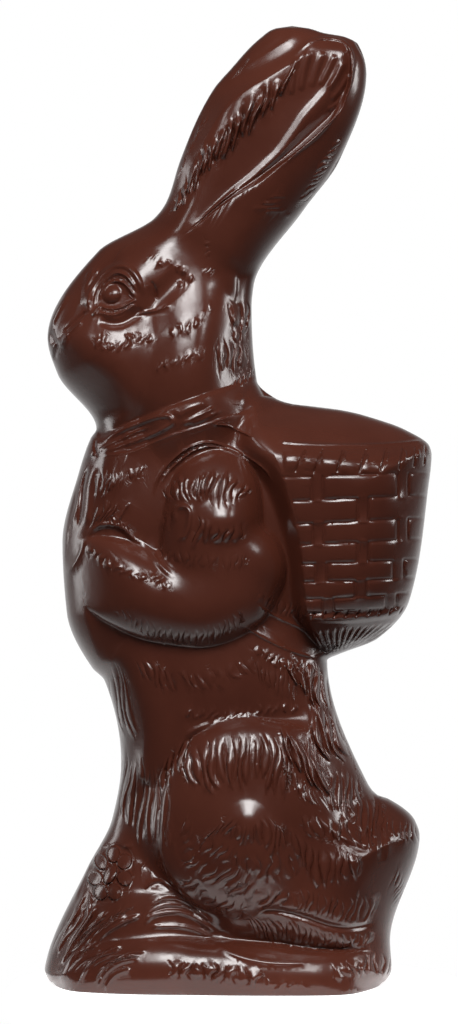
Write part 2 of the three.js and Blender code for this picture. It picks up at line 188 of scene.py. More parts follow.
# %% The trunk, the head and the torso
TRUNK_BACK = [
    (0, 35.8), (5, 38.2), (40, 35.5), (56.3, 29), (80.6, 22), (110, 20), (130, 17), (140, 12),
    (150.3, 4.7), (168.8, 3.4), (178.3, 5.4), (198.8, 20.8), (213.4, 28.8), (227, 32.1),
    (236.3, 26.5), (HEIGHT, CROWN_X),
]
TRUNK_DEPTH = [
    (0, 24.5), (3, 26), (16, 22.5), (42, 21), (68, 20.5), (88, 22.5), (115, 22.5), (126, 21.2),
    (133, 20.2), (139, 19), (147, 18), (158, 17), (168, 15), (178, 12.5), (191, 11), (208, 9),
    (231, 7.2), (237.6, 4.5), (HEIGHT, 0),
]
TRUNK_FULLNESS = 2.6
body = slab(curve(FRONT, Z), curve(TRUNK_BACK, Z), curve(TRUNK_DEPTH, Z), TRUNK_FULLNESS)
body = joined(body, {
    "cheek": (4, lump((-29, 152.5), (17.5, 18), 14, 7, power=2)),
    "jaw": (4, lump((-12, 152), (14, 27), 14, 9.5, power=2, slope=-0.15)),
    "skull": (4, lump((-16, 174), (16, 15), 8, 7, power=2)),
    "brow": (3, lump((-27, 170), (17, 9.5), 10, 7, turn=42, power=2)),
    "back": (3, lump((4, 110), (15, 25), 10, 11.5, power=2)),
    "breast": (3, lump((-29, 119), (14, 20), 11, 9.5, power=2)),
    "belly": (6, lump((-8, 70), (26, 24), 8, 16, turn=-20, power=2)),
    "paw": (1.4, lump((-37.5, 94), (8.5, 19.5), 11, 5.5, turn=-3)),
})

# %% [markdown]
# The upper arm and the forearm are one form that lies on the body, with a crisp crease
# round it, so they are joined to each other first and to the body with a small fillet.

# %% The arm's mass
FOREARM = [
    (-1, 104, 16, 13.5), (-3.5, 98, 17.5, 12.5), (-10, 95, 18.5, 11.8), (-18, 96, 18.5, 11.4),
    (-26, 99.5, 17, 11.2), (-32, 102.5, 14, 10.5), (-36, 103, 11.5, 9.5),
]
ARM_FILLET, ELBOW_FILLET = 0.7, 3
upper_arm = lump((-6.8, 111), (13.8, 23.5), 14.5, 15.5, turn=-5, power=2.3)
body = joined(body, {"arm": (ARM_FILLET, join(upper_arm, limb(FOREARM), ELBOW_FILLET))})

# %% [markdown]
# The basket is round in plan. Its near wall is full as far as the rabbit's back, where it
# runs into the fur, and its back line is the outline itself. Past its own edges it drops
# away steeply, and less so beside the rabbit's neck.

# %% The basket's body
BASKET_BOTTOM, BASKET_TOP = 80.4, 146
BASKET_FRONT = [
    (BASKET_BOTTOM, 22), (88, 18.6), (92, 17.1), (107, 15.6), (121, 12.4), (134, 8), (BASKET_TOP, 3),
]
BASKET_DEPTH = [
    (BASKET_BOTTOM, 2), (83, 9), (86, 15), (90, 20), (94, 22.6), (104, 24.6), (126, 27),
    (131, 27.2), (134.5, 26.2), (137, 24.5), (140, 20.5), (143, 15), (BASKET_TOP, 8),
]
MIDDLE_SHIFT, FRONT_CURVE, BASKET_FULLNESS = 4, 0.35, 2.4
EDGE_DROP, NECK_EASING, NECK_FROM, NECK_OVER = 60, 25, 122, 12
basket_front, outline_back = curve(BASKET_FRONT, Z), curve(BACK, Z)
middle = (basket_front + outline_back) / 2 - MIDDLE_SHIFT
reach = (X - middle) / (outline_back - middle)
reach = np.where(X > middle, reach, FRONT_CURVE * reach)
basket = curve(BASKET_DEPTH, Z) ** 2 * (1 - np.abs(reach) ** BASKET_FULLNESS)
front_drop = EDGE_DROP - NECK_EASING * ease((Z - NECK_FROM) / NECK_OVER)
basket -= front_drop * np.maximum(basket_front - X, 0) + EDGE_DROP * np.maximum(BASKET_BOTTOM - Z, 0)
basket -= EDGE_DROP * np.maximum(Z - BASKET_TOP, 0)
body = joined(body, {"basket": (1.8, basket)})

# %% [markdown]
# Below are the grassy mound and the hindquarters: rump, haunch, hip and knee make one
# round thigh, with the tail behind it and the shank and the long foot under it.

# %% The mound and the hindquarters
MOUND_TOP, MOUND_FULLNESS = 60, 2.4
MOUND_BACK = [(0, 14), (8, 10), (16, 4), (30, -8), (45, -16), (MOUND_TOP, -20)]
MOUND_DEPTH = [
    (0, 24.5), (1.2, 25.5), (5, 26), (12, 24.9), (24, 23.2), (28, 20), (34, 14), (48, 8), (MOUND_TOP, 3),
]
FOOT = [
    (-35, 2, 15, 9), (-26, 3.8, 19.5, 9), (-14, 4.4, 22, 9), (0, 3.6, 23.2, 9), (14, 2.8, 23.5, 8.6),
    (27, 2, 21.5, 8.2), (34, 1, 16, 6.5),
]
FOOT_FILLET, TOE_FILLET, TOES_FROM, TOES_OVER = 1.2, 7, -6, 14
mound = slab(curve(FRONT, Z), curve(MOUND_BACK, Z), curve(MOUND_DEPTH, Z), MOUND_FULLNESS)
foot_fillet = FOOT_FILLET + TOE_FILLET * ease((TOES_FROM - X) / TOES_OVER)
body = joined(body, {
    "mound": (2, mound - EDGE_DROP * np.maximum(Z - MOUND_TOP, 0)),
    "rump": (4, lump((22, 47), (15, 24), 11, 13, turn=22)),
    "back of the thigh": (4, lump((20, 32), (17.5, 22), 8.5, 22)),
    "haunch": (1.4, lump((4.2, 42), (23.5, 25), 9.5, 22.5, turn=-12, power=2.4)),
    "tail": (1.4, lump((37.2, 32), (9.2, 14.5), 11.5, 6, turn=-6)),
    "tail root": (2, lump((35, 19), (8, 12), 11, 5)),
    "shank": (1.0, lump((15, 21), (27, 12.5), 6.5, 20.5, turn=-4, power=2.6, slope=0.22)),
    "foot": (foot_fillet, limb(FOOT)),
})

# %% [markdown]
# The two halves differ only at the ears. On the half that shows, the ear behind is whole
# and the other peeps out in front of it, and on the other half it is the other way round.
# An ear has its own frame: along its axis from the crown, and across it towards the back.

# %% The ears
EAR_ROOT, EAR_AXIS, EAR_FLIP = (-8.5, 187.0), (0.605, 0.796), -3.0
EAR_RIM = [
    (-4, -7), (6, -9.5), (17, -12.7), (24, -14.2), (39, -11.4), (48, -8.8), (57, -5.5), (60, -3),
]
EAR_CREST = [(-4, -3), (11, 1), (19, 4.2), (37, 8), (44, 8.8), (50, 7.3), (57.5, 1.9), (60, -1.5)]
EAR_EDGE = [(-4, 16), (27, 16.2), (43.6, 13.7), (57.8, 6.9), (61.5, 0)]
EAR_HEIGHT = [(-6, 14.6), (0, 14.6), (10, 14.6), (25, 14), (40, 12.4), (50, 10.8), (56, 9), (62, 4)]
EAR_HOLLOW = [(-8, 0), (6, 1.2), (12, 1.8), (20, 2.2), (33, 2.5), (45, 2.5), (51, 2), (59, 0)]
EAR_FOLD = [(6, 0.8), (18, 0.77), (26, 0.76), (32, 0.7), (39, 0.62), (44, 0.6)]
RIM_MARGIN, EAR_FULLNESS = 6, 2.6
EAR_TIP, TIP_DROP, ROOT_DROP, ROOT_POWER, EAR_END, NO_EAR = 61, 12, 2.5, 1.6, -24, -400
FOLD_WIDTH, FOLD_RISE, SECOND_DIP, CREST_FOOT = 0.11, 0.28, 0.45, 0.93
HOLLOW_FROM, HOLLOW_OVER = -6, 8
NEAR, FAR = -1, 1


def ear_place(half):
    """The plate's cells along and across the ear of one half."""
    dx, dz = X - EAR_ROOT[0], Z - EAR_ROOT[1]
    along = dx * EAR_AXIS[0] + dz * EAR_AXIS[1]
    across = dx * EAR_AXIS[1] - dz * EAR_AXIS[0]
    return along, across if half == NEAR else EAR_FLIP - across


def ear_mass(half):
    """The ear's squared depth, which falls off past its tip and below its root."""
    along, across = ear_place(half)
    near_edge = curve(EAR_RIM, along) - RIM_MARGIN
    far_edge = np.maximum(curve(EAR_EDGE, along), near_edge + 1)
    share = (2 * across - near_edge - far_edge) / (far_edge - near_edge)
    mass = curve(EAR_HEIGHT, along) ** 2 * (1 - np.abs(share) ** EAR_FULLNESS)
    mass -= TIP_DROP * np.maximum(along - EAR_TIP, 0) + ROOT_DROP * np.maximum(-along, 0) ** ROOT_POWER
    return np.where(along < EAR_END, NO_EAR, mass)


def ear_hollow(half):
    """How deep the hollow is between rim and crest: a bowl, a fold in it and a second dip."""
    along, across = ear_place(half)
    rim, crest = curve(EAR_RIM, along), curve(EAR_CREST, along)
    share = np.clip((across - rim) / np.maximum(crest - rim, 0.5), 0, 1)
    fold = curve(EAR_FOLD, along)
    wall = np.sin(np.pi / 2 * np.clip(share / fold, 0, 1))
    ridge_up = ease((share - fold) / FOLD_WIDTH)
    dip_again = ease((share - fold - FOLD_WIDTH) / (CREST_FOOT - fold - FOLD_WIDTH))
    foot_of_crest = np.clip((share - CREST_FOOT) / (1 - CREST_FOOT), 0, 1) ** 2
    bowl = wall * (1 - FOLD_RISE * ridge_up + SECOND_DIP * dip_again) * (1 - foot_of_crest)
    return curve(EAR_HOLLOW, along) * bowl * ease((along - HOLLOW_FROM) / HOLLOW_OVER)


# %% [markdown]
# At the outline both halves round over to depth nought. How far inside the outline a cell
# lies is measured to the outline's own polygon, on every second cell to save time, and a
# table of fullness says how square or round the edge is at each height.

# %% Rounding over at the outline
EDGE_FULLNESS = [
    (0, 90), (2.5, 80), (7, 60), (14, 44), (30, 44), (50, 50), (78, 46), (90, 38), (120, 40),
    (138, 38), (143, 30), (170, 28), (190, 24), (205, 18), (HEIGHT, 12),
]
OUTLINE_STEPS, COARSE = 420, 2
EAR_FILLET, EDGE_FILLET, FILLET_GROWTH, LEAST_FILL = 2.2, 3, 0.35, 0.12


def outline_points():
    rise = HEIGHT * (0.5 - 0.5 * np.cos(np.linspace(0, np.pi, OUTLINE_STEPS)))
    front = np.column_stack([curve(FRONT, rise), rise])
    back = np.column_stack([curve(BACK, rise[::-1]), rise[::-1]])
    return np.vstack([front, back])


def depth_inside():
    """How far inside the outline each coarse cell lies, negative outside it."""
    x, z = X[::COARSE, ::COARSE], Z[::COARSE, ::COARSE]
    nearest = np.full(x.shape, 1e9)
    points = outline_points()
    for start, end in zip(points[:-1], points[1:]):
        span = end - start
        length = max(float(span @ span), 1e-12)
        share = np.clip(((x - start[0]) * span[0] + (z - start[1]) * span[1]) / length, 0, 1)
        away = (x - start[0] - share * span[0]) ** 2 + (z - start[1] - share * span[1]) ** 2
        nearest = np.minimum(nearest, away)
    within = (x > curve(FRONT, z)) & (x < curve(BACK, z))
    return np.where(within, np.sqrt(nearest), -np.sqrt(nearest))


def sample(field, x, z, cell=CELL):
    """The value of a plate at any points, straight between its cells."""
    i = np.clip((z - PLATE_Z[0]) / cell, 0, field.shape[0] - 1.001)
    j = np.clip((x - PLATE_X[0]) / cell, 0, field.shape[1] - 1.001)
    i0, j0 = i.astype(int), j.astype(int)
    u, v = i - i0, j - j0
    low = field[i0, j0] * (1 - v) + field[i0, j0 + 1] * v
    high = field[i0 + 1, j0] * (1 - v) + field[i0 + 1, j0 + 1] * v
    return low * (1 - u) + high * u


inside = sample(depth_inside(), X, Z, COARSE * CELL)
edge = inside * (curve(EDGE_FULLNESS, Z) + np.abs(inside))


def rounded_off(mass):
    """The smooth lesser of the mass and the edge, never quite flat."""
    width = EDGE_FILLET + FILLET_GROWTH * np.maximum(edge, 0)
    share = np.clip(0.5 + 0.5 * (edge - mass) / width, 0, 1)
    least = edge + (mass - edge) * share - width * share * (1 - share)
    return np.where(edge > 0, np.maximum(least, LEAST_FILL * edge), edge)


halves = {half: rounded_off(join(body, ear_mass(half), EAR_FILLET)) for half in (NEAR, FAR)}
print("deepest:", round(float(np.sqrt(halves[NEAR].max())), 1), "mm")

# %% [markdown]
# The relief is a second plate that is pressed on the masses. It is drawn on a sheet of
# quarter millimetres, counted right and down from its top left corner, so that lines can
# be read off a side view. Every mark is drawn only in the window of cells that it covers.
# The mesh can't hold the finest lines sharply, so each of them also leaves marks for the
# material in a layer of their own: how far a cell is from the line, and how strongly it
# is carved, which is less than nought where the line is raised.

# %% Drawing on the plate
SHEET_X, SHEET_Y, SHEET_SCALE = 238, 982, 4
LINE_STEPS = 48
LAYERS, LINES = 4, 3
FINE_LINE, LINE_REACH, LINE_STRENGTH, LINE_FADE = 1.35, 1.6, 0.5, 0.2


def drawn(points):
    """Sheet points as (x, z) on the plate."""
    return [((x - SHEET_X) / SHEET_SCALE, (SHEET_Y - y) / SHEET_SCALE) for x, y in points]


def smooth_line(points, shares=np.linspace(0, 1, LINE_STEPS)):
    """Places on a smooth line through the points, straight on beyond its ends."""
    p = np.array(points, float)
    t = shares * (len(p) - 1)
    held = np.clip(t, 0, len(p) - 1)
    i = np.clip(held.astype(int), 0, len(p) - 2)
    f = (held - i)[:, None]
    more = np.vstack([2 * p[0] - p[1], p, 2 * p[-1] - p[-2]])
    a, b, c, d = more[i], more[i + 1], more[i + 2], more[i + 3]
    bend, twist = 2 * a - 5 * b + 4 * c - d, 3 * b - a - 3 * c + d
    spots = 0.5 * (2 * b + (c - a) * f + bend * f * f + twist * f**3)
    beyond = (t - held)[:, None]
    return spots + beyond * np.where(beyond < 0, p[1] - p[0], p[-1] - p[-2])


def window(points, margin):
    """The rows and columns of cells round some points."""
    low, high = points.min(0) - margin, points.max(0) + margin
    rows = np.searchsorted(PLATE_Z, [low[1], high[1]])
    columns = np.searchsorted(PLATE_X, [low[0], high[0]])
    return slice(*rows), slice(*columns)


def measured(line, win):
    """For each cell: how far from the line, on which side, and at what share of its length."""
    x, z = X[win], Z[win]
    nearest = np.full(x.shape, 1e9)
    side, share = np.zeros(x.shape), np.zeros(x.shape)
    spans = np.diff(line, axis=0)
    lengths = np.hypot(spans[:, 0], spans[:, 1])
    passed = np.concatenate([[0], np.cumsum(lengths)])
    for k in np.flatnonzero(lengths > 1e-9):
        dx, dz = x - line[k, 0], z - line[k, 1]
        u = np.clip((dx * spans[k, 0] + dz * spans[k, 1]) / lengths[k] ** 2, 0, 1)
        away = np.hypot(dx - u * spans[k, 0], dz - u * spans[k, 1])
        closer = away < nearest
        nearest = np.where(closer, away, nearest)
        side = np.where(closer, np.sign(spans[k, 0] * dz - spans[k, 1] * dx), side)
        share = np.where(closer, (passed[k] + u * lengths[k]) / passed[-1], share)
    return nearest, side, share


def tapered(share, ends):
    """1 along a line, easing to 0 over a share of it at both ends."""
    return ease(np.minimum(share, 1 - share) / ends)


# %% [markdown]
# A carver uses few strokes: a raised or a sunken line, a step where an edge of cloth lies
# over something, and a soft swell. Bevelled curves could be laid on the mesh instead, but
# they would leave seams. Here each stroke only adds to the plate's height, so strokes cross
# without a joint.

# %% Lines, ledges and swells
STROKE_FULLNESS = 1.5


def blank_marks():
    return {name: np.zeros((LAYERS, *X.shape)) for name in ("lock", "strength")}


def ridge(relief, marks, points, width, height, ends=0.15):
    """A raised line, or with a negative height a groove, and its mark if it is a fine one."""
    line = smooth_line(points)
    win = window(line, width)
    away, side, share = measured(line, win)
    crown = np.maximum(1 - (2 * away / width) ** 2, 0) ** STROKE_FULLNESS
    relief[win] += height * tapered(share, ends) * crown
    if width < FINE_LINE:
        lock = side * away / (LINE_REACH * width)
        fading = ease((0.5 - np.abs(lock)) / LINE_FADE)
        strength = -np.sign(height) * LINE_STRENGTH * tapered(share, ends) * fading
        over = np.abs(strength) > np.abs(marks["strength"][LINES][win])
        marks["lock"][LINES][win][over] = lock[over]
        marks["strength"][LINES][win][over] = strength[over]


def lined(relief, marks, lines, place=drawn):
    """Single raised or carved lines, each as width, height and points."""
    for width, height, points in lines.values():
        ridge(relief, marks, place(points), width, height)
    print("lines:", ", ".join(lines))


def ledge(relief, points, width, height, fade, ends=0.1):
    """A step on the left of a line that fades out over so many millimetres."""
    line = smooth_line(points)
    win = window(line, fade + width)
    away, side, share = measured(line, win)
    s = away * side
    rest = np.where(s > 0, np.maximum(1 - s / fade, 0) ** STROKE_FULLNESS, 1.0)
    relief[win] += height * tapered(share, ends) * ease(s / width + 0.5) * rest


def swell(relief, at, half, rise):
    """A soft bump, or with a negative rise a dent."""
    x0, z0 = drawn([at])[0]
    out = ((X - x0) / half[0]) ** 2 + ((Z - z0) / half[1]) ** 2
    relief += rise * np.maximum(1 - out, 0) ** 2


relief = np.zeros(X.shape)
marks = blank_marks()

# %% [markdown]
# Fur on a mould is cut in rows, each row a comb of pointed locks that lie side by side. So
# each row here is drawn as two lines: one where its locks start and one where their tips
# lie. Locks are highest near their tips, and where two of them meet there is a sharp crease.
# A crease is finer than the mesh can be, so a row also leaves marks for the material: at
# every cell, which lock of the row it is on, as a running number, and how strongly combed.
# Rows that follow each other use three layers in turn, and the strongest mark stays.

# %% Rows of locks
SAMPLE_STEP, SAMPLE_MARGIN = 0.4 * CELL, 8
LOCK_FROM, LOCK_TO, LOCK_SPAN = -0.1, 1.1, 1.2
S_BEND = 0.03
WAVERS = ((0.16, 5, 1.7), (0.11, 10, -2.9))
LOCK_ALONG, LOCK_WIDTH = [0, 0.4, 0.75, 1], [0.65, 1, 0.85, 0.1]
LOCK_ROUNDNESS, RISE_OVER, RISE_START, TIP_FROM, TIP_OVER, TIP_FALL = 2.2, 0.45, 0.1, 0.85, 0.15, 0.5
BEGINS, ENDS, RISES, STRENGTHS = (0, 0.25), (0.78, 1), (0.75, 1.2), (0.4, 1.1)
STRENGTH_FADE, SPARSE, DENSE, BOLD_LOCK = 0.2, 0.5, 0.3, 2.2


def row_places(root_line, tip_line, spare, bow):
    """Shares along a row and up its locks, their spots on the plate, and the row's length."""
    lines = (root_line, tip_line)
    row_length = max(np.hypot(*np.diff(smooth_line(line), axis=0).T).sum() for line in lines)
    lock_length = np.hypot(*(smooth_line(root_line) - smooth_line(tip_line)).T).max()
    across = int(row_length * (1 + 2 * spare) / SAMPLE_STEP) + SAMPLE_MARGIN
    up = int(LOCK_SPAN * lock_length * (1 + abs(bow)) / SAMPLE_STEP) + SAMPLE_MARGIN
    u, v = np.linspace(-spare, 1 + spare, across), np.linspace(LOCK_FROM, LOCK_TO, up)
    starts = smooth_line(root_line, u)
    way = smooth_line(tip_line, u) - starts
    aside = np.column_stack([-way[:, 1], way[:, 0]])
    shift = 2 * bow * v * (1 - v) + S_BEND * np.sin(2 * np.pi * v)
    spots = starts[:, None] + way[:, None] * v[:, None] + aside[:, None] * shift[:, None]
    return u, v, spots, row_length


def wavering(lock, v, random):
    """Running numbers that waver on the way up, so that no two locks are alike."""
    wavy = lock
    for (size, upward, along), start in zip(WAVERS, random.uniform(0, 2 * np.pi, len(WAVERS))):
        wavy = wavy + size * np.sin(upward * v + along * lock + start)
    return wavy


def lock_heights(lock, t, count, filled, rises):
    """Domes across each lock, highest near its tip and pointed there."""
    off = np.abs(2 * (lock - np.floor(lock)) - 1) / (filled * np.interp(t, LOCK_ALONG, LOCK_WIDTH))
    rises = rises * ease(t / RISE_OVER + RISE_START) * (1 - TIP_FALL * ease((t - TIP_FROM) / TIP_OVER))
    in_row = (lock > 0) & (lock < count) & (t > 0) & (t < 1)
    return np.where(in_row, rises * np.maximum(1 - off**LOCK_ROUNDNESS, 0), 0)


def combed_strength(lock, v, count, begins, ends, random):
    """How strongly a row is combed at each spot, fading out past all its edges."""
    beside = np.maximum(np.maximum(-lock, lock - count), 0)
    middles = np.arange(count) + 0.5
    first, last = np.interp(lock, middles, begins), np.interp(lock, middles, ends)
    strength = ease(1 - 2 * beside) * ease((v - first) / STRENGTH_FADE) * ease((last - v) / STRENGTH_FADE)
    return strength * np.interp(lock, np.arange(count + 1), random.uniform(*STRENGTHS, count + 1))


def spread(spots, values):
    """The means of values in the plate's cells, and which cells have any."""
    columns = np.rint((spots[..., 0] - PLATE_X[0]) / CELL).astype(int).ravel()
    rows = np.rint((spots[..., 1] - PLATE_Z[0]) / CELL).astype(int).ravel()
    on = (columns >= 0) & (columns < X.shape[1]) & (rows >= 0) & (rows < X.shape[0])
    cells = rows[on] * X.shape[1] + columns[on]
    hits = np.bincount(cells, minlength=X.size)
    means = [np.bincount(cells, value.ravel()[on], X.size) / np.maximum(hits, 1) for value in values]
    return [mean.reshape(X.shape) for mean in means], (hits > 0).reshape(X.shape)


# %% [markdown]
# A row is sampled more finely than the plate, bowed and made uneven, and then averaged into
# the plate's cells. Hair curves would give loose strands, which no mould can hold.

# %% Combing a row
def comb(relief, marks, layer, count, width, height, bow, roots, tips, place=drawn):
    """A row of locks between two drawn lines. A positive bow bulges to their left."""
    random = np.random.default_rng(count)
    spare = 1 / (count - 1)
    u, v, spots, row_length = row_places(place(roots), place(tips), spare, bow)
    filled = min(width * count / (row_length * (1 + spare)), 1)
    lock = wavering(u[:, None] * (count - 1) + 0.5, v, random)
    k = np.clip(lock.astype(int), 0, count - 1)
    begins, ends = random.uniform(*BEGINS, count), random.uniform(*ENDS, count)
    t = (v - begins[k]) / (ends - begins)[k]
    rises = height * random.uniform(*RISES, count)[k]
    heights = lock_heights(lock, t, count, filled, rises)
    strength = combed_strength(lock, v, count, begins, ends, random)
    strength = strength * ease((filled - SPARSE) / DENSE) * min(row_length / count / BOLD_LOCK, 1)
    (heights, lock, strength), on = spread(spots, (heights, lock, strength))
    relief += heights
    over = on & (strength >= marks["strength"][layer])
    marks["lock"][layer][over] = lock[over]
    marks["strength"][layer][over] = strength[over]


def combed(relief, marks, rows, place=drawn):
    """Rows of locks, each as how many, how wide and high, their bow, their roots and tips."""
    for layer, row in enumerate(rows.values()):
        comb(relief, marks, layer % LINES, *row, place=place)
    print("rows:", ", ".join(rows))


# %% [markdown]
# The eye is a ball in a shallow socket between two lids, with a fold round them. The
# muzzle, the nostril and the mouth are single carved lines.

# %% The face
EYE_AT = drawn([(113, 297)])[0]
SOCKET_HALF, SOCKET_DEPTH = (6.6, 5.6), 1.6
BALL_RADIUS, BALL_RISE, BALL_FULLNESS = 2.4, 1.5, 0.7
from_eye = np.hypot(X - EYE_AT[0], Z - EYE_AT[1])
socket = ((X - EYE_AT[0]) / SOCKET_HALF[0]) ** 2 + ((Z - EYE_AT[1]) / SOCKET_HALF[1]) ** 2
relief -= SOCKET_DEPTH * np.maximum(1 - socket, 0)
relief += BALL_RISE * np.maximum(1 - (from_eye / BALL_RADIUS) ** 2, 0) ** BALL_FULLNESS
FACE_LINES = {
    "outer fold of the lid": (2, 0.9, [
        (91, 317), (91, 302), (94, 290), (101, 279), (110, 271), (120, 268), (130, 271), (138, 280),
        (143, 292), (145, 301),
    ]),
    "second fold": (1.3, 0.5, [
        (96, 312), (97, 301), (101, 290), (109, 281), (118, 276), (127, 279), (134, 287), (139, 297),
    ]),
    "upper lid": (1.3, 0.6, [
        (101, 305), (103, 296), (109, 288), (117, 284), (126, 287), (133, 295), (139, 303),
    ]),
    "lower lid": (1.2, 0.7, [(101, 308), (107, 311), (115, 312), (124, 310), (132, 306), (139, 302)]),
    "lower lid's edge": (1.2, 0.6, [(96, 318), (103, 316), (111, 318), (120, 317), (130, 312), (138, 306)]),
    "front corner": (1.2, 0.7, [(94, 319), (98, 313), (102, 308)]),
    "fold under the eye": (3, -0.8, [(100, 322), (112, 327), (124, 326), (136, 319), (146, 312)]),
    "line behind the eye": (1.2, 0.35, [(136, 319), (147, 315), (157, 314), (172, 308)]),
    "valley behind the eye": (7, -0.8, [(148, 304), (162, 298), (176, 286), (186, 276)]),
    "temple groove": (1.2, -0.45, [(152, 284), (156, 292), (158, 303)]),
    "front of the brow": (3, 0.7, [(98, 269), (91, 279), (88, 294), (88, 310)]),
    "bridge of the nose": (2.2, 0.8, [(69, 295), (62, 305), (55, 318), (51, 327)]),
    "muzzle crease": (1.4, -0.8, [(60, 343), (66, 334), (74, 327), (82, 320), (90, 313)]),
    "side of the muzzle": (1.3, 0.4, [(63, 346), (69, 337), (77, 330), (85, 323)]),
    "nostril": (2.4, -1.2, [(51, 331), (53, 338), (56, 345)]),
    "mouth": (1.4, -1.1, [(60, 343), (57, 352), (55, 361)]),
    "upper lip": (2.6, 0.7, [(68, 334), (65, 342), (62, 350)]),
}
lined(relief, marks, FACE_LINES)

# %% [markdown]
# Short tufts lie over the brow, the cheek and the jaw, with longer hair down the nape.

# %% The short tufts of the head
HEAD_ROWS = {
    "brow tuft": (3, 1, 0.4, 0.1, [(86, 284), (92, 279), (98, 277)], [(89, 272), (94, 268), (100, 267)]),
    "whisker tuft": (2, 1.9, 0.5, 0.1, [(97, 334), (103, 333)], [(99, 354), (106, 356)]),
    "front of the cheek": (3, 1.6, 0.4, 0.15, [(112, 341), (121, 340), (130, 338)],
                           [(109, 356), (119, 358), (129, 356)]),
    "cheek": (4, 1.2, 0.35, 0.15, [(131, 333), (142, 335), (152, 335)],
              [(130, 345), (140, 347), (151, 347)]),
    "back of the cheek": (4, 1.2, 0.4, 0.15, [(172, 327), (179, 325), (187, 322), (195, 318)],
                          [(173, 342), (181, 340), (189, 338), (198, 332)]),
    "side of the cheek": (2, 1.3, 0.4, 0.1, [(201, 312), (208, 305)], [(204, 324), (213, 314)]),
    "jaw": (6, 1.2, 0.3, -0.2, [(164, 362), (174, 359), (186, 356), (200, 352)],
            [(162, 377), (173, 374), (184, 369), (200, 364)]),
    "temple": (4, 1.1, 0.4, 0.15, [(161, 262), (169, 262), (177, 265), (184, 268)],
               [(161, 271), (170, 271), (178, 276), (185, 279)]),
    "before the temple": (2, 0.8, 0.3, 0.1, [(151, 257), (156, 257)], [(149, 264), (154, 264)]),
    "under the temple": (3, 1.1, 0.4, 0.1, [(178, 281), (184, 279), (190, 277)],
                         [(182, 293), (187, 291), (193, 288)]),
    "ear root": (3, 1, 0.15, 0.1, [(202, 248), (203, 254), (205, 260)],
                 [(212, 246), (213, 251), (212, 256)]),
    "under the ear": (2, 1, 0.2, 0, [(210, 268), (214, 269)], [(203, 277), (208, 278)]),
    "nape": (3, 2.8, 1.1, 0.25, [(228, 297), (237, 296), (246, 300)], [(233, 332), (241, 340), (248, 334)]),
    "lower nape": (2, 2.2, 0.6, -0.1, [(235, 326), (243, 326)], [(238, 346), (245, 346)]),
    "neck": (4, 2.2, 0.4, 0.1, [(219, 336), (229, 340), (240, 343)], [(221, 374), (232, 378), (243, 371)]),
    "fringe over the scarf": (5, 1.2, 0.5, 0, [(237, 379), (245, 373), (252, 367)],
                              [(235, 389), (243, 387), (251, 382)]),
}
combed(relief, marks, HEAD_ROWS)

# %% [markdown]
# The neckerchief is a band round the neck with a few long folds, knotted under the chin.
# Its upper edge stands clear of the neck, which a ledge gives.

# %% The neckerchief
SCARF_TOP = drawn([(256, 377), (232, 388), (205, 398), (165, 412), (126, 427), (99, 439)])
SCARF_HEM = drawn([
    (277, 400), (262, 407), (238, 416), (215, 425), (187, 434), (158, 444), (128.5, 455), (96, 460),
])
scarf_edges = [smooth_line(line)[::8] for line in (SCARF_TOP, SCARF_HEM)]
scarf_middle = [tuple((top + hem) / 2) for top, hem in zip(*scarf_edges)]
ledge(relief, SCARF_TOP[::-1], width=1.2, height=-1.0, fade=8, ends=0.02)
ledge(relief, SCARF_HEM, width=1.0, height=0.6, fade=5, ends=0.2)
ridge(relief, marks, scarf_middle, width=9, height=0.6, ends=0.05)
SCARF_LINES = {
    "hem": (1.2, 0.3, [(100, 457), (130, 454), (150, 446), (170, 438), (190, 432), (215, 424), (240, 414)]),
    "loop of the front fold": (1.5, 0.6, [
        (96, 447), (108, 440), (123, 432), (138, 426), (151, 421), (163, 418), (171, 419), (173, 425),
        (162, 432), (148, 438), (134, 443), (116, 449), (96, 455),
    ]),
    "middle of the loop": (1.2, 0.35, [(98, 451), (115, 444), (134, 435), (152, 428)]),
    "middle fold": (1.6, 0.5, [(183, 427), (192, 422), (204, 416), (217, 409)]),
    "middle fold below": (1.4, 0.4, [(190, 427), (200, 423), (212, 417), (222, 412)]),
    "back fold": (2.6, 0.4, [(176, 418), (192, 410), (208, 404)]),
    "knot": (5, 1, [(96, 438), (91, 447), (93, 458)]),
    "knot's groove": (1.2, -0.6, [(97, 440), (96, 448), (99, 458)]),
}
lined(relief, marks, SCARF_LINES)
swell(relief, at=(255, 402), half=(5.5, 3.6), rise=1.0)

# %% [markdown]
# The waistcoat shows as its piped armhole, a shoulder seam and the edges of its front, with
# the fur of the chest between them.

# %% The waistcoat
VEST_LINES = {
    "armhole piping": (1.1, 0.5, [
        (156, 500), (157, 486), (164, 472), (176, 459), (190, 449), (206, 444), (220, 446), (236, 452),
        (250, 460), (264, 471), (274, 486),
    ]),
    "piping's inner line": (1, 0.35, [
        (160, 490), (168, 475), (180, 463), (193, 453), (208, 448), (221, 450), (236, 456), (250, 464),
        (262, 475),
    ]),
    "shoulder seam": (0.9, 0.3, [(212, 427), (226, 427), (240, 433), (253, 439)]),
    "outer edge": (1.5, 0.5, [(87, 463), (76, 488), (70, 515), (66, 545), (64, 572)]),
    "front edge": (1.6, 0.6, [(92, 462), (82, 482), (78, 505), (72, 527)]),
    "lapel": (3.2, 0.9, [(96, 464), (90, 484), (89, 505), (87, 526)]),
    "lapel's groove": (1.2, -0.5, [(90, 464), (84, 486), (82, 508), (80, 528)]),
    "hem by the hand": (1.4, 0.5, [(87, 538), (82, 553), (74, 566), (67, 574)]),
    "breast edge": (1, 0.3, [(132, 503), (127, 510), (121, 520)]),
}
lined(relief, marks, VEST_LINES)
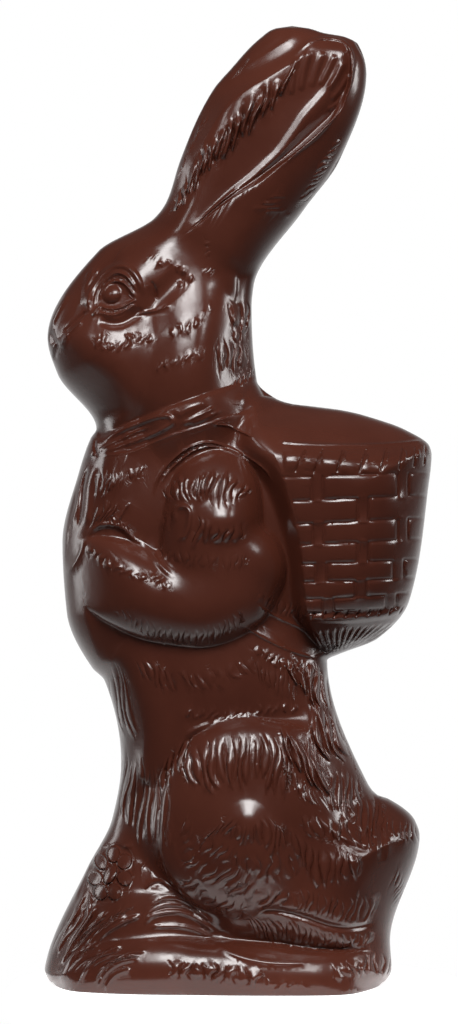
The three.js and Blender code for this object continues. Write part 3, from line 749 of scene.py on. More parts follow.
CHEST_ROWS = {
    "chest": (4, 1.7, 0.45, 0.12, [(99, 466), (106, 468), (114, 470)], [(98, 496), (105, 500), (112, 494)]),
    "middle of the chest": (3, 1.5, 0.4, 0.12, [(116, 468), (122, 470)], [(116, 492), (123, 494)]),
    "chest by the arm": (3, 1.5, 0.45, -0.1, [(133, 466), (138, 465), (143, 467)],
                         [(134, 482), (139, 484), (143, 478)]),
    "lower chest": (4, 1.7, 0.5, 0.12, [(104, 496), (112, 499), (120, 500)],
                    [(92, 530), (99, 528), (108, 522)]),
    "fringe on the wrist": (5, 1.1, 0.35, 0, [(111, 516), (118, 516), (126, 522)],
                            [(114, 525), (122, 527), (131, 535)]),
}
combed(relief, marks, CHEST_ROWS)

# %% [markdown]
# On the arm the hair rises like flames at the shoulder, hooks under it, and lies in short
# strokes along the forearm, whose upper edge is a rolled rim over the body.

# %% The arm
FOREARM_RIM = drawn([
    (88, 542), (97, 529), (110, 525), (124, 529), (136, 540), (150, 549), (158, 560), (167, 570),
    (177, 578),
])
ridge(relief, marks, FOREARM_RIM, width=1.8, height=0.6)
ledge(relief, FOREARM_RIM[::-1], width=0.9, height=-0.8, fade=6, ends=0.15)
swell(relief, at=(226, 522), half=(8, 7), rise=2.0)
ARM_LINES = {
    "hook": (1.8, 0.8, [
        (176, 524), (176, 511), (183, 506), (190, 511), (190, 523), (186, 534), (178, 542),
    ]),
    "strap's top": (1, 0.4, [(256, 602), (272, 613), (290, 622), (308, 630)]),
    "strap's foot": (1, 0.4, [(242, 623), (262, 635), (288, 648), (316, 657)]),
}
lined(relief, marks, ARM_LINES)
ARM_ROWS = {
    "front flames": (5, 2.1, 0.5, 0.22, [(177, 503), (184, 504), (191, 504), (198, 503)],
                     [(166, 482), (177, 476), (186, 475), (192, 476)]),
    "back flames": (8, 2.5, 0.7, 0.22, [(203, 506), (212, 512), (222, 514), (233, 510), (243, 500)],
                    [(204, 470), (214, 463), (226, 468), (239, 476), (249, 486)]),
    "curls": (6, 2.2, 0.55, 0.25, [(199, 511), (208, 516), (217, 521), (227, 523), (237, 520)],
              [(193, 551), (203, 549), (212, 543), (222, 546), (234, 542)]),
    "by the piping": (2, 1.4, 0.4, 0.1, [(160, 514), (167, 514)], [(162, 532), (169, 532)]),
    "under the hook": (8, 1.3, 0.25, 0.1, [(163, 546), (180, 548), (196, 551), (212, 552)],
                       [(166, 562), (181, 564), (194, 570), (209, 568)]),
    "back of the elbow": (3, 1.4, 0.2, 0, [(226, 552), (240, 552)], [(228, 572), (238, 574)]),
    "forearm": (
        11, 1.4, 0.45, -0.05,
        [(94, 545), (104, 551), (116, 558), (130, 565), (144, 569), (158, 571), (168, 576)],
        [(88, 554), (99, 562), (110, 569), (124, 575), (140, 579), (155, 582), (165, 588)],
    ),
    "under the forearm": (21, 1.1, 0.15, 0.1, [(120, 604), (150, 616), (180, 622), (210, 620), (234, 608)],
                          [(126, 622), (154, 640), (182, 647), (212, 645), (238, 628)]),
    "above the strap": (9, 1.1, 0.25, 0.1, [(262, 588), (276, 592), (290, 596), (302, 602)],
                        [(258, 602), (270, 612), (284, 617), (296, 622)]),
    "below the strap": (9, 1.3, 0.35, 0.1, [(258, 640), (276, 648), (294, 654), (312, 658)],
                        [(256, 656), (272, 664), (290, 672), (306, 678)]),
}
combed(relief, marks, ARM_ROWS)

# %% [markdown]
# The basket is woven: slats go over and under upright stakes in turn, between a braided
# rim and a lower ring, and the stakes are gathered into a fluted cone below.

# %% The basket weave
WEAVE_LEFT, WEAVE_RIGHT = 300, 415
ROWS_LEFT = [477, 501, 524, 544, 563, 581, 598, 612]
ROWS_RIGHT = [473, 496, 518, 539, 559, 577, 592, 606]
STAKES = [[315, 400], [360], [316, 400], [360], [319, 396], [358], [326, 389]]
STAKE_HALF, STAKE_OVER, STAKE_CORNER = 5, 2, (8, 20)
SLAT_GAP, SLAT_CORNER, SLAT_RISE, SLAT_CROWN = 0.5, (30, 10), 1.1, 0.25
GROOVE = 0.45
BASKET_LEFT = [(450, 272), (477, 281), (502, 291), (533, 296), (561, 299), (590, 302), (619, 306)]
BASKET_RIGHT = [(470, 434), (500, 430), (532, 426), (560, 422), (590, 416), (613, 406)]
sheet_x, sheet_y = X * SHEET_SCALE + SHEET_X, SHEET_Y - Z * SHEET_SCALE
basket_left, basket_right = curve(BASKET_LEFT, sheet_y), curve(BASKET_RIGHT, sheet_y)
tilt = (sheet_x - WEAVE_LEFT) / (WEAVE_RIGHT - WEAVE_LEFT)
levels = [left + (right - left) * tilt for left, right in zip(ROWS_LEFT, ROWS_RIGHT)]
on_weave = (sheet_y > levels[0]) & (sheet_y < levels[-1])
on_weave &= (sheet_x > basket_left) & (sheet_x < basket_right)
relief[on_weave] -= GROOVE


def strip(u, v, corner):
    """1 on a strip whose places across and along run from 0 to 1, with rounded edges."""
    within = (u > 0) & (u < 1) & (v > 0) & (v < 1)
    across, along = (np.maximum(1 - np.abs(2 * w - 1) ** power, 0) for w, power in zip((u, v), corner))
    return np.where(within, (across * along) ** 0.5, 0)


# %% [markdown]
# A slat runs from stake to stake and bulges a little, and each stake overlaps the rows above
# and below it. Strips that really weave, copied by an Array, would leave gaps and undercuts,
# so the weave is relief as well.

# %% Slats over and under the stakes
for top, bottom, stakes in zip(levels, levels[1:], STAKES):
    v = (sheet_y - top + STAKE_OVER) / (bottom - top + 2 * STAKE_OVER)
    for stake in stakes:
        u = (sheet_x - stake + STAKE_HALF) / (2 * STAKE_HALF)
        relief += GROOVE * strip(u, v, STAKE_CORNER) * on_weave
    v = (sheet_y - top - SLAT_GAP) / (bottom - top - 2 * SLAT_GAP)
    bulge = SLAT_RISE + SLAT_CROWN * np.sin(np.pi * np.clip(v, 0, 1))
    ends = [basket_left, *stakes, basket_right]
    for k, (start, end) in enumerate(zip(ends, ends[1:])):
        start = start + (STAKE_HALF + 1) * (k > 0)
        end = end - (STAKE_HALF + 1) * (k < len(ends) - 2)
        u = (sheet_x - start) / np.maximum(end - start, 1)
        relief += GROOVE * strip(u, v, SLAT_CORNER) * bulge * on_weave
print("slat rows:", len(STAKES))

# %% [markdown]
# Slanting knots bind the rim, small notches cut the lower ring, and flutes run down the cone.

# %% The basket's rims and cone
RIM_TOP = [(279, 443), (300, 445), (340, 446), (380, 445), (420, 441)]
RIM_MIDDLE = [(281, 461), (300, 460), (340, 460), (380, 459), (428, 455)]
KNOTS = [
    ((304, 449), (293, 474)), ((321, 449), (311, 475)), ((341, 449), (334, 474)),
    ((364, 450), (356, 474)), ((384, 448), (377, 473)), ((401, 447), (396, 471)),
    ((414, 446), (411, 469)), ((424, 445), (422, 467)),
]
RING = [(306, 616), (345, 617), (380, 614), (405, 609)]
NOTCHES, NOTCH_ENDS = np.linspace(0.05, 0.95, 9), ((306, 614), (404, 609))
FLUTES, CONE_TOP, CONE_FOOT = np.linspace(0, 1, 12), ((310, 627), (400, 620)), ((328, 656), (354, 649))


def part_way(ends, share):
    """The sheet point at a share of the way between two."""
    return tuple(start + (end - start) * share for start, end in zip(*ends))


def moved(point, right, down):
    return point[0] + right, point[1] + down


ridge(relief, marks, drawn(RIM_TOP), width=1.1, height=0.5, ends=0.03)
ridge(relief, marks, drawn(RIM_MIDDLE), width=7.6, height=0.9, ends=0.03)
for top, bottom in KNOTS:
    ridge(relief, marks, drawn([top, bottom]), width=0.9, height=-0.45, ends=0.1)
    strand = drawn([moved(top, 2, 2), moved(bottom, 7, -10)])
    ridge(relief, marks, strand, width=1.2, height=0.3, ends=0.3)
ridge(relief, marks, drawn(RING), width=2.6, height=1.0, ends=0.05)
for notch in NOTCHES:
    middle = part_way(NOTCH_ENDS, notch)
    groove = drawn([moved(middle, 3, -4), moved(middle, -2, 5)])
    ridge(relief, marks, groove, width=0.9, height=-0.6, ends=0.3)
for flute in FLUTES:
    groove = drawn([part_way(CONE_TOP, flute), part_way(CONE_FOOT, flute)])
    ridge(relief, marks, groove, width=1.1, height=-0.7, ends=0.25)
print("knots, notches and flutes:", len(KNOTS), len(NOTCHES), len(FLUTES))

# %% [markdown]
# Longer hair hangs down the belly to the grass, and the haunch carries the boldest locks:
# a fan over its top, a ridge down its back, and rings of strokes round the knee.

# %% The belly and the front
BELLY_ROWS = {
    "front strands": (4, 2.4, 0.5, -0.06, [(107, 654), (113, 652), (119, 656)],
                      [(127, 738), (136, 741), (144, 738)]),
    "lower strands": (8, 2, 0.5, 0.03, [(122, 736), (131, 737), (140, 740), (150, 752), (160, 764)],
                      [(120, 820), (129, 838), (140, 848), (153, 850), (166, 850)]),
    "strands by the daisy": (5, 1.4, 0.4, 0.05, [(104, 858), (112, 836), (140, 836), (154, 840)],
                             [(74, 930), (98, 842), (142, 880), (150, 888)]),
    "side of the belly": (5, 1.6, 0.3, 0.1, [(138, 656), (152, 656), (166, 664)],
                          [(150, 682), (160, 686), (174, 692)]),
    "belly": (8, 1.5, 0.3, -0.15, [(180, 664), (194, 662), (210, 662), (230, 656), (246, 654)],
              [(198, 688), (208, 690), (222, 688), (246, 676), (256, 672)]),
    "belly's back": (8, 1.4, 0.3, -0.1, [(256, 656), (268, 660), (280, 664), (290, 668)],
                     [(264, 684), (272, 690), (282, 698), (294, 702)]),
    "hem over the haunch": (
        13, 1, 0.4, 0.12,
        [(198, 700), (214, 702), (230, 702), (246, 700), (262, 697), (278, 697), (294, 696)],
        [(182, 714), (202, 719), (218, 718), (236, 716), (254, 713), (272, 712), (290, 712)],
    ),
    "upper back": (5, 2.2, 1.1, -0.06, [(284, 655), (294, 655), (304, 657), (314, 659), (322, 663)],
                   [(304, 692), (311, 702), (316, 708), (322, 710), (329, 714)]),
    "back": (4, 2.6, 1.2, -0.14, [(310, 698), (318, 699), (328, 704)],
             [(330, 760), (342, 761), (353, 758)]),
    "beside the back": (3, 1.8, 0.5, -0.1, [(304, 722), (311, 730)], [(312, 760), (321, 766)]),
    "edge of the back": (4, 1.7, 0.5, -0.05, [(330, 708), (336, 722), (342, 736)],
                         [(352, 752), (358, 764), (366, 780)]),
}
combed(relief, marks, BELLY_ROWS)
swell(relief, at=(330, 706), half=(9, 14), rise=2.0)

# %% [markdown]
# Rows fan out over the haunch, hook round the knee and run down to the shank and the tail,
# each the way its hair grows. Where the coat changes direction there is a ridge or a crease.

# %% The haunch and the knee
HAUNCH_LINES = {
    "upper edge": (2.2, 0.5, [(184, 736), (193, 727), (208, 721), (226, 716), (244, 713), (262, 712)]),
    "hip ridge": (3.4, 0.6, [(280, 719), (296, 740), (312, 760), (324, 778), (332, 794)]),
    "edge of the upper coat": (2.6, 0.6, [(322, 812), (334, 825), (348, 832), (360, 836), (370, 840)]),
    "crease of the leg": (2.2, -0.8, [
        (252, 909), (264, 900), (282, 901), (304, 907), (330, 916), (352, 919), (376, 917),
    ]),
    "crease of the tail": (2.6, -0.9, [(370, 788), (376, 806), (379, 830), (379, 856)]),
}
lined(relief, marks, HAUNCH_LINES)
swell(relief, at=(247, 812), half=(5.5, 6), rise=1.3)
swell(relief, at=(252, 836), half=(14, 16), rise=1.9)
HAUNCH_ROWS = {
    "front of the fan": (5, 3.2, 0.55, -0.15, [(184, 744), (196, 735), (208, 729), (220, 725)],
                         [(203, 786), (211, 787), (220, 786), (229, 785)]),
    "middle of the fan": (4, 3, 0.55, 0, [(227, 724), (236, 721), (246, 720)],
                          [(233, 786), (240, 785), (248, 784)]),
    "back of the fan": (5, 3, 0.55, 0.15, [(252, 720), (262, 722), (272, 728), (280, 737)],
                        [(254, 784), (262, 786), (270, 790), (278, 796)]),
    "front edge": (4, 2.6, 0.6, -0.2, [(190, 726), (179, 739), (168, 750)],
                   [(185, 768), (175, 776), (165, 787)]),
    "hip": (5, 3, 1.3, -0.08, [(279, 717), (288, 726), (298, 737), (309, 748)],
            [(298, 768), (310, 779), (321, 788), (332, 794)]),
    "under the hip": (4, 1.9, 0.35, -0.1, [(286, 748), (294, 764), (304, 776)],
                      [(291, 782), (301, 794), (314, 800)]),
    "behind the hip": (5, 2.4, 0.6, -0.1, [(332, 760), (343, 763), (353, 770)],
                       [(334, 816), (347, 816), (360, 808)]),
    "over the tail": (5, 1.9, 0.6, 0.05, [(356, 792), (364, 791), (372, 791), (379, 796)],
                      [(358, 832), (364, 840), (371, 838), (377, 824)]),
    "upper coat": (7, 2.4, 0.4, -0.1, [(300, 800), (320, 806), (340, 808), (358, 812)],
                   [(314, 832), (332, 838), (350, 840), (367, 844)]),
    "back of the knee": (5, 2, 0.5, 0.25, [(253, 806), (260, 804), (267, 806), (273, 811)],
                         [(256, 842), (265, 850), (274, 850), (281, 846)]),
    "knee": (5, 1.6, 0.4, 0.1, [(234, 812), (242, 813), (250, 812)], [(230, 832), (240, 837), (250, 838)]),
    "front of the knee": (4, 1.7, 0.4, 0.05, [(236, 806), (228, 808), (220, 812)],
                          [(224, 828), (213, 830), (200, 834)]),
    "before the knee": (4, 2.2, 0.25, 0.2, [(212, 826), (222, 830), (232, 833)],
                        [(198, 846), (208, 850), (220, 855)]),
    "front of the thigh": (4, 1.6, 0.3, 0.2, [(192, 808), (194, 822), (196, 838)],
                           [(180, 826), (181, 840), (186, 856)]),
    "below the knee": (5, 2.6, 0.3, 0.15, [(240, 840), (254, 843), (268, 844), (282, 842)],
                       [(240, 866), (254, 871), (268, 874), (284, 874)]),
    "under the knee": (6, 2.6, 0.22, 0.25, [(198, 846), (212, 848), (228, 850), (246, 852)],
                       [(184, 860), (194, 868), (208, 876), (224, 884)]),
    "under the thigh": (6, 2.6, 0.2, 0.2, [(196, 868), (210, 877), (226, 884), (240, 888)],
                        [(184, 882), (196, 893), (211, 902), (229, 908)]),
    "middle of the thigh": (
        9, 2.4, 0.5, 0.12,
        [(284, 812), (296, 820), (310, 828), (322, 830), (334, 834), (346, 840)],
        [(298, 858), (306, 872), (316, 879), (328, 881), (340, 878), (352, 874)],
    ),
    "lower thigh": (6, 2.6, 0.35, 0.3, [(244, 868), (258, 869), (274, 873), (292, 880)],
                    [(230, 888), (246, 897), (264, 901), (284, 902)]),
    "last of the thigh": (12, 1.8, 0.35, 0.25, [(300, 876), (316, 880), (332, 882), (350, 884), (366, 888)],
                          [(297, 906), (312, 909), (328, 913), (346, 915), (362, 917)]),
    "shank": (
        21, 1.5, 0.35, 0.25,
        [(240, 902), (258, 908), (280, 906), (302, 912), (324, 919), (346, 922), (366, 924)],
        [(260, 938), (274, 938), (286, 932), (304, 937), (325, 941), (345, 942), (362, 938)],
    ),
    "tail": (6, 1.8, 0.45, -0.2, [(384, 808), (394, 808), (404, 812), (412, 819)],
             [(386, 832), (398, 838), (408, 842), (417, 843)]),
    "under the tail": (5, 1.5, 0.3, 0.1, [(396, 862), (402, 872), (405, 882)],
                       [(390, 882), (391, 893), (387, 903)]),
}
combed(relief, marks, HAUNCH_ROWS)

# %% [markdown]
# Tufts hang over the side of the long foot, below a soft raised edge.

# %% The feet
FOOT_ROWS = {
    "instep": (8, 2.3, 0.7, 0.15, [(176, 945), (202, 945), (228, 948), (252, 952)],
               [(174, 968), (199, 969), (224, 972), (249, 976)]),
    "side of the foot": (5, 1.6, 0.35, 0.1, [(256, 960), (272, 964), (288, 966), (303, 966)],
                         [(252, 973), (268, 977), (284, 978), (300, 978)]),
    "heel": (7, 2.3, 0.6, 0, [(330, 947), (342, 949), (352, 949), (363, 944), (375, 944), (386, 945)],
             [(340, 970), (350, 968), (358, 969), (367, 968), (375, 971), (383, 974)]),
}
combed(relief, marks, FOOT_ROWS)
FOOT_EDGE = drawn([(210, 928), (222, 936), (240, 944), (262, 949), (286, 950.5), (312, 949.5)])
ridge(relief, marks, FOOT_EDGE, width=1.8, height=0.6, ends=0.2)

# %% [markdown]
# Blades of grass fan up the mound and bend over the foot, with a daisy by the toes.

# %% The grass
GRASS_ROWS = {
    "edge of the mound": (5, 2.2, 0.6, -0.05, [(52, 958), (62, 954), (74, 946)],
                          [(84, 884), (94, 890), (103, 898)]),
    "edge higher up": (4, 1.5, 0.5, 0.03, [(70, 922), (78, 908), (84, 892)],
                       [(86, 884), (92, 866), (98, 848)]),
    "towards the leaf": (5, 2.3, 0.4, 0.1, [(74, 950), (86, 942), (100, 930)],
                         [(112, 900), (126, 898), (140, 892)]),
    "along the foot": (5, 2.4, 0.3, 0.2, [(66, 970), (80, 968), (94, 966)],
                       [(108, 926), (124, 936), (146, 940)]),
    "beside the thigh": (5, 1.2, 0.3, 0, [(161, 790), (167, 800), (172, 822)],
                         [(172, 850), (180, 862), (184, 876)]),
}
combed(relief, marks, GRASS_ROWS)
GRASS_LINES = {
    "blade over the foot": (1.7, 0.7, [
        (145, 918), (152, 908), (164, 904), (178, 903), (192, 907), (206, 916), (217, 925),
    ]),
    "second blade": (1.5, 0.45, [(150, 919), (165, 917), (185, 918), (203, 924), (216, 931)]),
    "third blade": (1.2, 0.3, [(150, 898), (168, 890), (186, 894), (204, 906), (216, 918)]),
    "fourth blade": (1.2, 0.3, [(148, 905), (166, 897), (182, 898), (198, 904), (212, 914)]),
    "first blade of the mound": (1.5, 0.85, [(56, 950), (68, 926), (78, 906), (88, 886)]),
    "next blade of the mound": (1.5, 0.85, [(62, 958), (76, 934), (88, 914), (100, 898)]),
    "middle blade of the mound": (1.5, 0.85, [(70, 956), (84, 936), (98, 916), (112, 902)]),
    "low blade of the mound": (1.5, 0.85, [(82, 948), (96, 930), (112, 916), (130, 906)]),
    "lowest blade of the mound": (1.5, 0.85, [(92, 942), (106, 926), (124, 914), (144, 906)]),
    "blade by the daisy": (1.5, 0.85, [(74, 900), (82, 880), (92, 856), (100, 836)]),
    "first toe": (1.3, 0.5, [(150, 939), (128, 943), (110, 954), (96, 974)]),
    "second toe": (1.3, 0.5, [(142, 947), (122, 952), (108, 963), (100, 979)]),
    "third toe": (1.3, 0.5, [(134, 957), (120, 962), (112, 970), (108, 981)]),
    "side of the toes": (1.3, 0.5, [(126, 934), (108, 942), (92, 956), (80, 976)]),
    "leaf": (1.1, 0.6, [(145, 882), (152, 876), (159, 874), (166, 876), (174, 883)]),
    "hollow by the shank": (5, -0.7, [(190, 872), (205, 893), (216, 908), (230, 928)]),
}
lined(relief, marks, GRASS_LINES)

# %% [markdown]
# The daisy is a ring of round petals about a raised eye. It lies on an oval that is cleared
# first, so no grass shows through it, and marks keep the petals' outlines crisp.

# %% The daisy
DAISY_AT, DAISY_LEAN = drawn([(112, 869)])[0], 62
DAISY_HALF, PETAL_HALF, EYE_HALF = (7.0, 5.2), (2.0, 1.75), (2.6, 1.35)
PETALS, PETAL_OUT, PETAL_RISE, EYE_RISE, GROOVE_DEPTH = 7, 0.7, 1.1, 1.7, 0.5
BUTTON_SQUARENESS, BUTTON_FULLNESS = 3, 0.6
CLEARING, CLEARING_FADE, OUTLINE_AT = 1.15, 0.2, 0.9
s, t = local(*DAISY_AT, DAISY_LEAN)
clear = ease((CLEARING - np.hypot(s / DAISY_HALF[0], t / DAISY_HALF[1])) / CLEARING_FADE)
relief *= 1 - clear
marks["strength"] *= 1 - clear


def button(s, t, half, rise):
    """A raised oval, and how far out of its middle each cell lies."""
    out = np.hypot(s / half[0], t / half[1])
    return rise * np.maximum(1 - out**BUTTON_SQUARENESS, 0) ** BUTTON_FULLNESS, out


flower, outermost = button(s, t, EYE_HALF, EYE_RISE)
for petal in range(PETALS):
    angle = 2 * math.pi * (petal + 0.5) / PETALS
    centre = (PETAL_OUT * DAISY_HALF[0] * math.cos(angle), PETAL_OUT * DAISY_HALF[1] * math.sin(angle))
    turn = math.atan2(centre[1], centre[0])
    outward = (s - centre[0]) * math.cos(turn) + (t - centre[1]) * math.sin(turn)
    sideways = (t - centre[1]) * math.cos(turn) - (s - centre[0]) * math.sin(turn)
    rise, out = button(outward, sideways, PETAL_HALF, PETAL_RISE)
    flower, outermost = np.maximum(flower, rise), np.minimum(outermost, out)
relief += flower - GROOVE_DEPTH * clear
in_flower = clear > 0.5
marks["lock"][LINES][in_flower] = np.clip(outermost - OUTLINE_AT, -0.5, 0.5)[in_flower]
marks["strength"][LINES][in_flower] = -2 * LINE_STRENGTH
print("petals:", PETALS)

# %% [markdown]
# The ear's hollow is rimmed by long locks in front and by a thin crest behind, and faint
# folds run up inside it. Each half gets its own ear, so this relief is drawn twice, and on
# the far half it is mirrored across the ear's axis.

# %% The ears' relief
EAR_LINES = {
    "crest": (1.4, 0.8, [
        (199, 226), (215, 212), (230, 200), (247, 190), (262, 181), (280, 168), (297, 155), (320, 136),
        (340, 108), (349, 86), (352, 66), (350, 53), (342, 43), (328, 40), (313, 43), (300, 52), (287, 66),
    ]),
    "valley between the ears": (6, -1.3, [
        (318, 34), (304, 42), (290, 55), (264, 71), (241, 84), (221, 98), (208, 116), (196, 134),
        (184, 158),
    ]),
    "first fold": (2.2, 0.6, [(297, 60), (292, 78), (290, 100)]),
    "second fold": (2.2, 0.6, [(309, 54), (303, 76), (300, 96)]),
    "third fold": (2.2, 0.5, [(323, 54), (316, 72), (310, 92)]),
    "fourth fold": (2, 0.5, [(335, 57), (327, 74), (319, 90)]),
    "fifth fold": (1.8, 0.5, [(344, 64), (336, 80), (327, 94)]),
    "sixth fold": (1.6, 0.4, [(349, 76), (340, 92), (330, 104)]),
    "seventh fold": (1.4, 0.35, [(346, 94), (337, 106), (326, 114)]),
}
EAR_ROWS = {
    "upper locks": (3, 3.8, 1.5, 0.12, [(288, 66), (276, 74), (265, 83)],
                    [(280, 104), (270, 120), (257, 134)]),
    "middle locks": (4, 3.6, 1.5, 0.12, [(257, 88), (246, 98), (236, 108), (226, 120)],
                     [(250, 140), (241, 150), (232, 156), (224, 168)]),
    "lower locks": (3, 3.4, 1.4, 0.1, [(220, 124), (211, 134), (203, 146)],
                    [(216, 170), (209, 180), (201, 188)]),
    "last locks": (4, 2.8, 1.1, 0.06, [(199, 150), (191, 166), (184, 180), (177, 194)],
                   [(197, 196), (190, 204), (184, 209), (177, 215)]),
    "edge locks": (4, 2.4, 0.8, 0.05, [(208, 110), (200, 121), (193, 134), (187, 148)],
                   [(196, 142), (188, 158), (182, 172), (176, 186)]),
    "back of the rim": (9, 1.6, 0.3, 0.1, [(342, 142), (336, 156), (330, 168), (322, 178), (314, 192)],
                        [(328, 150), (320, 164), (312, 178), (306, 188), (298, 202)]),
    "foot of the rim": (5, 1.4, 0.25, 0.05, [(290, 198), (284, 206), (296, 214)],
                        [(262, 202), (252, 214), (280, 220)]),
    "second ear": (4, 1.2, 0.25, 0, [(254, 54), (248, 62), (242, 70)], [(244, 66), (238, 74), (234, 80)]),
}


def ear_placing(half):
    """A way to place sheet points on the ear of one half."""
    def placed(points):
        found = np.array(drawn(points))
        if half == FAR:
            aside = np.array([EAR_AXIS[1], -EAR_AXIS[0]])
            across = (found - EAR_ROOT) @ aside
            found = found + (EAR_FLIP - 2 * across)[:, None] * aside
        return found

    return placed


def ear_relief(half, ear_marks):
    plate = -ear_hollow(half)
    combed(plate, ear_marks, EAR_ROWS, ear_placing(half))
    lined(plate, ear_marks, EAR_LINES, ear_placing(half))
    return plate


# %% [markdown]
# The two halves are cast. Where the figure is thin at its outline the relief fades out,
# as it does in a mould whose halves must part.

# %% The depth of each half
FADE = 3


def depth_plate(half):
    """The depth of one half in millimetres, its own ear's relief on it."""
    depth = np.sqrt(np.maximum(halves[half], 0))
    pressed = relief + ear_relief(half, half_marks[half])
    return np.maximum(depth + pressed * np.clip(depth / FADE, 0, 1), 0)


half_marks = {half: {name: plate.copy() for name, plate in marks.items()} for half in (NEAR, FAR)}
cast = {half: depth_plate(half) for half in (NEAR, FAR)}

# %% [markdown]
# The skin starts as a flat grid. It is rolled into a tube of level rings: the left half of
# the grid becomes the near half of the figure and the right half the far one. The lowest
# row is drawn together at the middle of the base and the highest at the crown, and the
# edges that meet are merged, so the skin is closed. Two half shells could be bridged at
# the outline too, but a tube has no seam to bridge.

# %% The figure's skin
TOP_RING, OUTLINE_SAMPLES, LEVEL_SHARE = 238.4, 6000, 0.3
AROUND, UP = ((760, 1000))
EVEN_SHARE, EDGE_SHARE = 0.45, 0.275
MERGED = 1e-7


def ring_heights(share):
    """Heights that share out the outline's length evenly, so level stretches get more rings."""
    z = np.linspace(0, TOP_RING, OUTLINE_SAMPLES)
    run = np.abs(np.gradient(curve(FRONT, z), z)) + np.abs(np.gradient(curve(BACK, z), z))
    length = np.concatenate([[0], np.cumsum(np.diff(z) * (1 + LEVEL_SHARE * (run[1:] + run[:-1])))])
    return np.interp(share * length[-1], length, z)


def rolled(u, v):
    """Grid places, both from 0 to 1, as points of the figure."""
    z = ring_heights(np.clip((v * UP - 1) / (UP - 2), 0, 1))
    turn = 1 - np.abs(2 * u - 1)
    share = EVEN_SHARE * turn + EDGE_SHARE * (1 - np.cos(np.pi * turn))
    front, back = curve(FRONT, z), curve(BACK, z)
    x = front + (back - front) * share
    y = np.where(u < 0.5, -sample(cast[NEAR], x, z), sample(cast[FAR], x, z))
    y[np.minimum(turn, 1 - turn) < 1e-6] = 0
    moulded = np.column_stack([x, y, z])
    moulded[v < 0.5 / UP] = (BASE_CENTRE_X, 0, 0)
    moulded[v > 1 - 0.5 / UP] = (CROWN_X, 0, HEIGHT)
    return moulded


bpy.ops.object.select_all(action="DESELECT")
bpy.ops.mesh.primitive_grid_add(x_subdivisions=AROUND, y_subdivisions=UP, size=2)
figure = bpy.context.object
figure.name = "figure_skin"
flat = np.empty(len(figure.data.vertices) * 3)
figure.data.vertices.foreach_get("co", flat)
flat = (flat.reshape(-1, 3) + 1) / 2
figure.data.vertices.foreach_set("co", (rolled(flat[:, 0], flat[:, 1]) / 1000).ravel())
bpy.ops.object.mode_set(mode="EDIT")
bpy.ops.mesh.select_all(action="SELECT")
bpy.ops.mesh.remove_doubles(threshold=MERGED)
bpy.ops.object.mode_set(mode="OBJECT")
print("cast:", len(figure.data.polygons), "faces")

# %% [markdown]
# A Decimate modifier thins out the smooth places and keeps the fur, which a Remesh would
# soften, because its faces are all of one size.

# %% Thinning the mesh
KEPT_TRIANGLES = 190_000
triangles = 2 * len(figure.data.polygons)
bpy.ops.object.modifier_add(type="DECIMATE")
figure.modifiers[-1].ratio = min(1, KEPT_TRIANGLES / triangles)
bpy.ops.object.modifier_apply(modifier=figure.modifiers[-1].name)
bpy.ops.object.shade_smooth()
print("kept:", len(figure.data.polygons), "faces")

# %% [markdown]
# The marks go from the plates to the mesh as attributes, one vector for each layer, which
# stay with their vertices and which the material can read.

# %% The marks on the mesh
places = np.empty(len(figure.data.vertices) * 3)
figure.data.vertices.foreach_get("co", places)
x, y, z = 1000 * places.reshape(-1, 3).T


def marks_at(half, layer):
    """The running number and the strength at each vertex, from one half's marks."""
    return [sample(half_marks[half][name][layer], x, z) for name in ("lock", "strength")]


for layer in range(LAYERS):
    values = np.where(y < 0, marks_at(NEAR, layer), marks_at(FAR, layer))
    values = np.column_stack([*values, np.zeros(len(x))])
    attribute = figure.data.attributes.new(f"locks {layer}", "FLOAT_VECTOR", "POINT")
    attribute.data.foreach_set("vector", values.ravel())
    print("marked vertices of layer", layer, "-", int((values[:, 1] != 0).sum()))

# %% [markdown]
# Dark chocolate is a fine suspension that sets with a satin skin: nearly black brown, with
# sharp enough reflections to show every lock, a little uneven in gloss where the mould
# touched it and where it pulled away. One soft noise drives both the brown and the gloss,
# as one flat brown would look like plastic, and a fine grain breaks up the reflections.

# %% Dark chocolate
DEEP_BROWN, WARM_BROWN = (0.0495, 0.0122, 0.0070, 1), (0.0765, 0.0202, 0.0118, 1)
DEEP_BELOW, WARM_ABOVE = 0.3, 0.72
CLOUD_SCALE, CLOUD_DETAIL, GRAIN_SCALE, GRAIN_DETAIL = 38, 6, 420, 3
GLOSSY, SATIN, CHOCOLATE_IOR = 0.14, 0.26, 1.5
GRAIN_STRENGTH, GRAIN_DEPTH = 0.12, 0.0003


def added(tree, kind, sockets=None, **settings):
    """A new shader node. Each named socket takes a plain value or another node's output."""
    node = tree.nodes.new("ShaderNode" + kind)
    for setting, choice in settings.items():
        setattr(node, setting, choice)
    for socket, value in (sockets or {}).items():
        if isinstance(value, bpy.types.NodeSocket):
            tree.links.new(value, node.inputs[socket])
        else:
            node.inputs[socket].default_value = value
    return node


chocolate = bpy.data.materials.new("dark chocolate")
chocolate.use_nodes = True
recipe = chocolate.node_tree
shader = recipe.nodes["Principled BSDF"]
shader.inputs["IOR"].default_value = CHOCOLATE_IOR
where = added(recipe, "TexCoord").outputs["Object"]


def noise(scale, detail=2):
    """Noise that is fixed to the figure, from 0 to 1."""
    return added(recipe, "TexNoise", {"Scale": scale, "Detail": detail, "Vector": where}).outputs["Fac"]


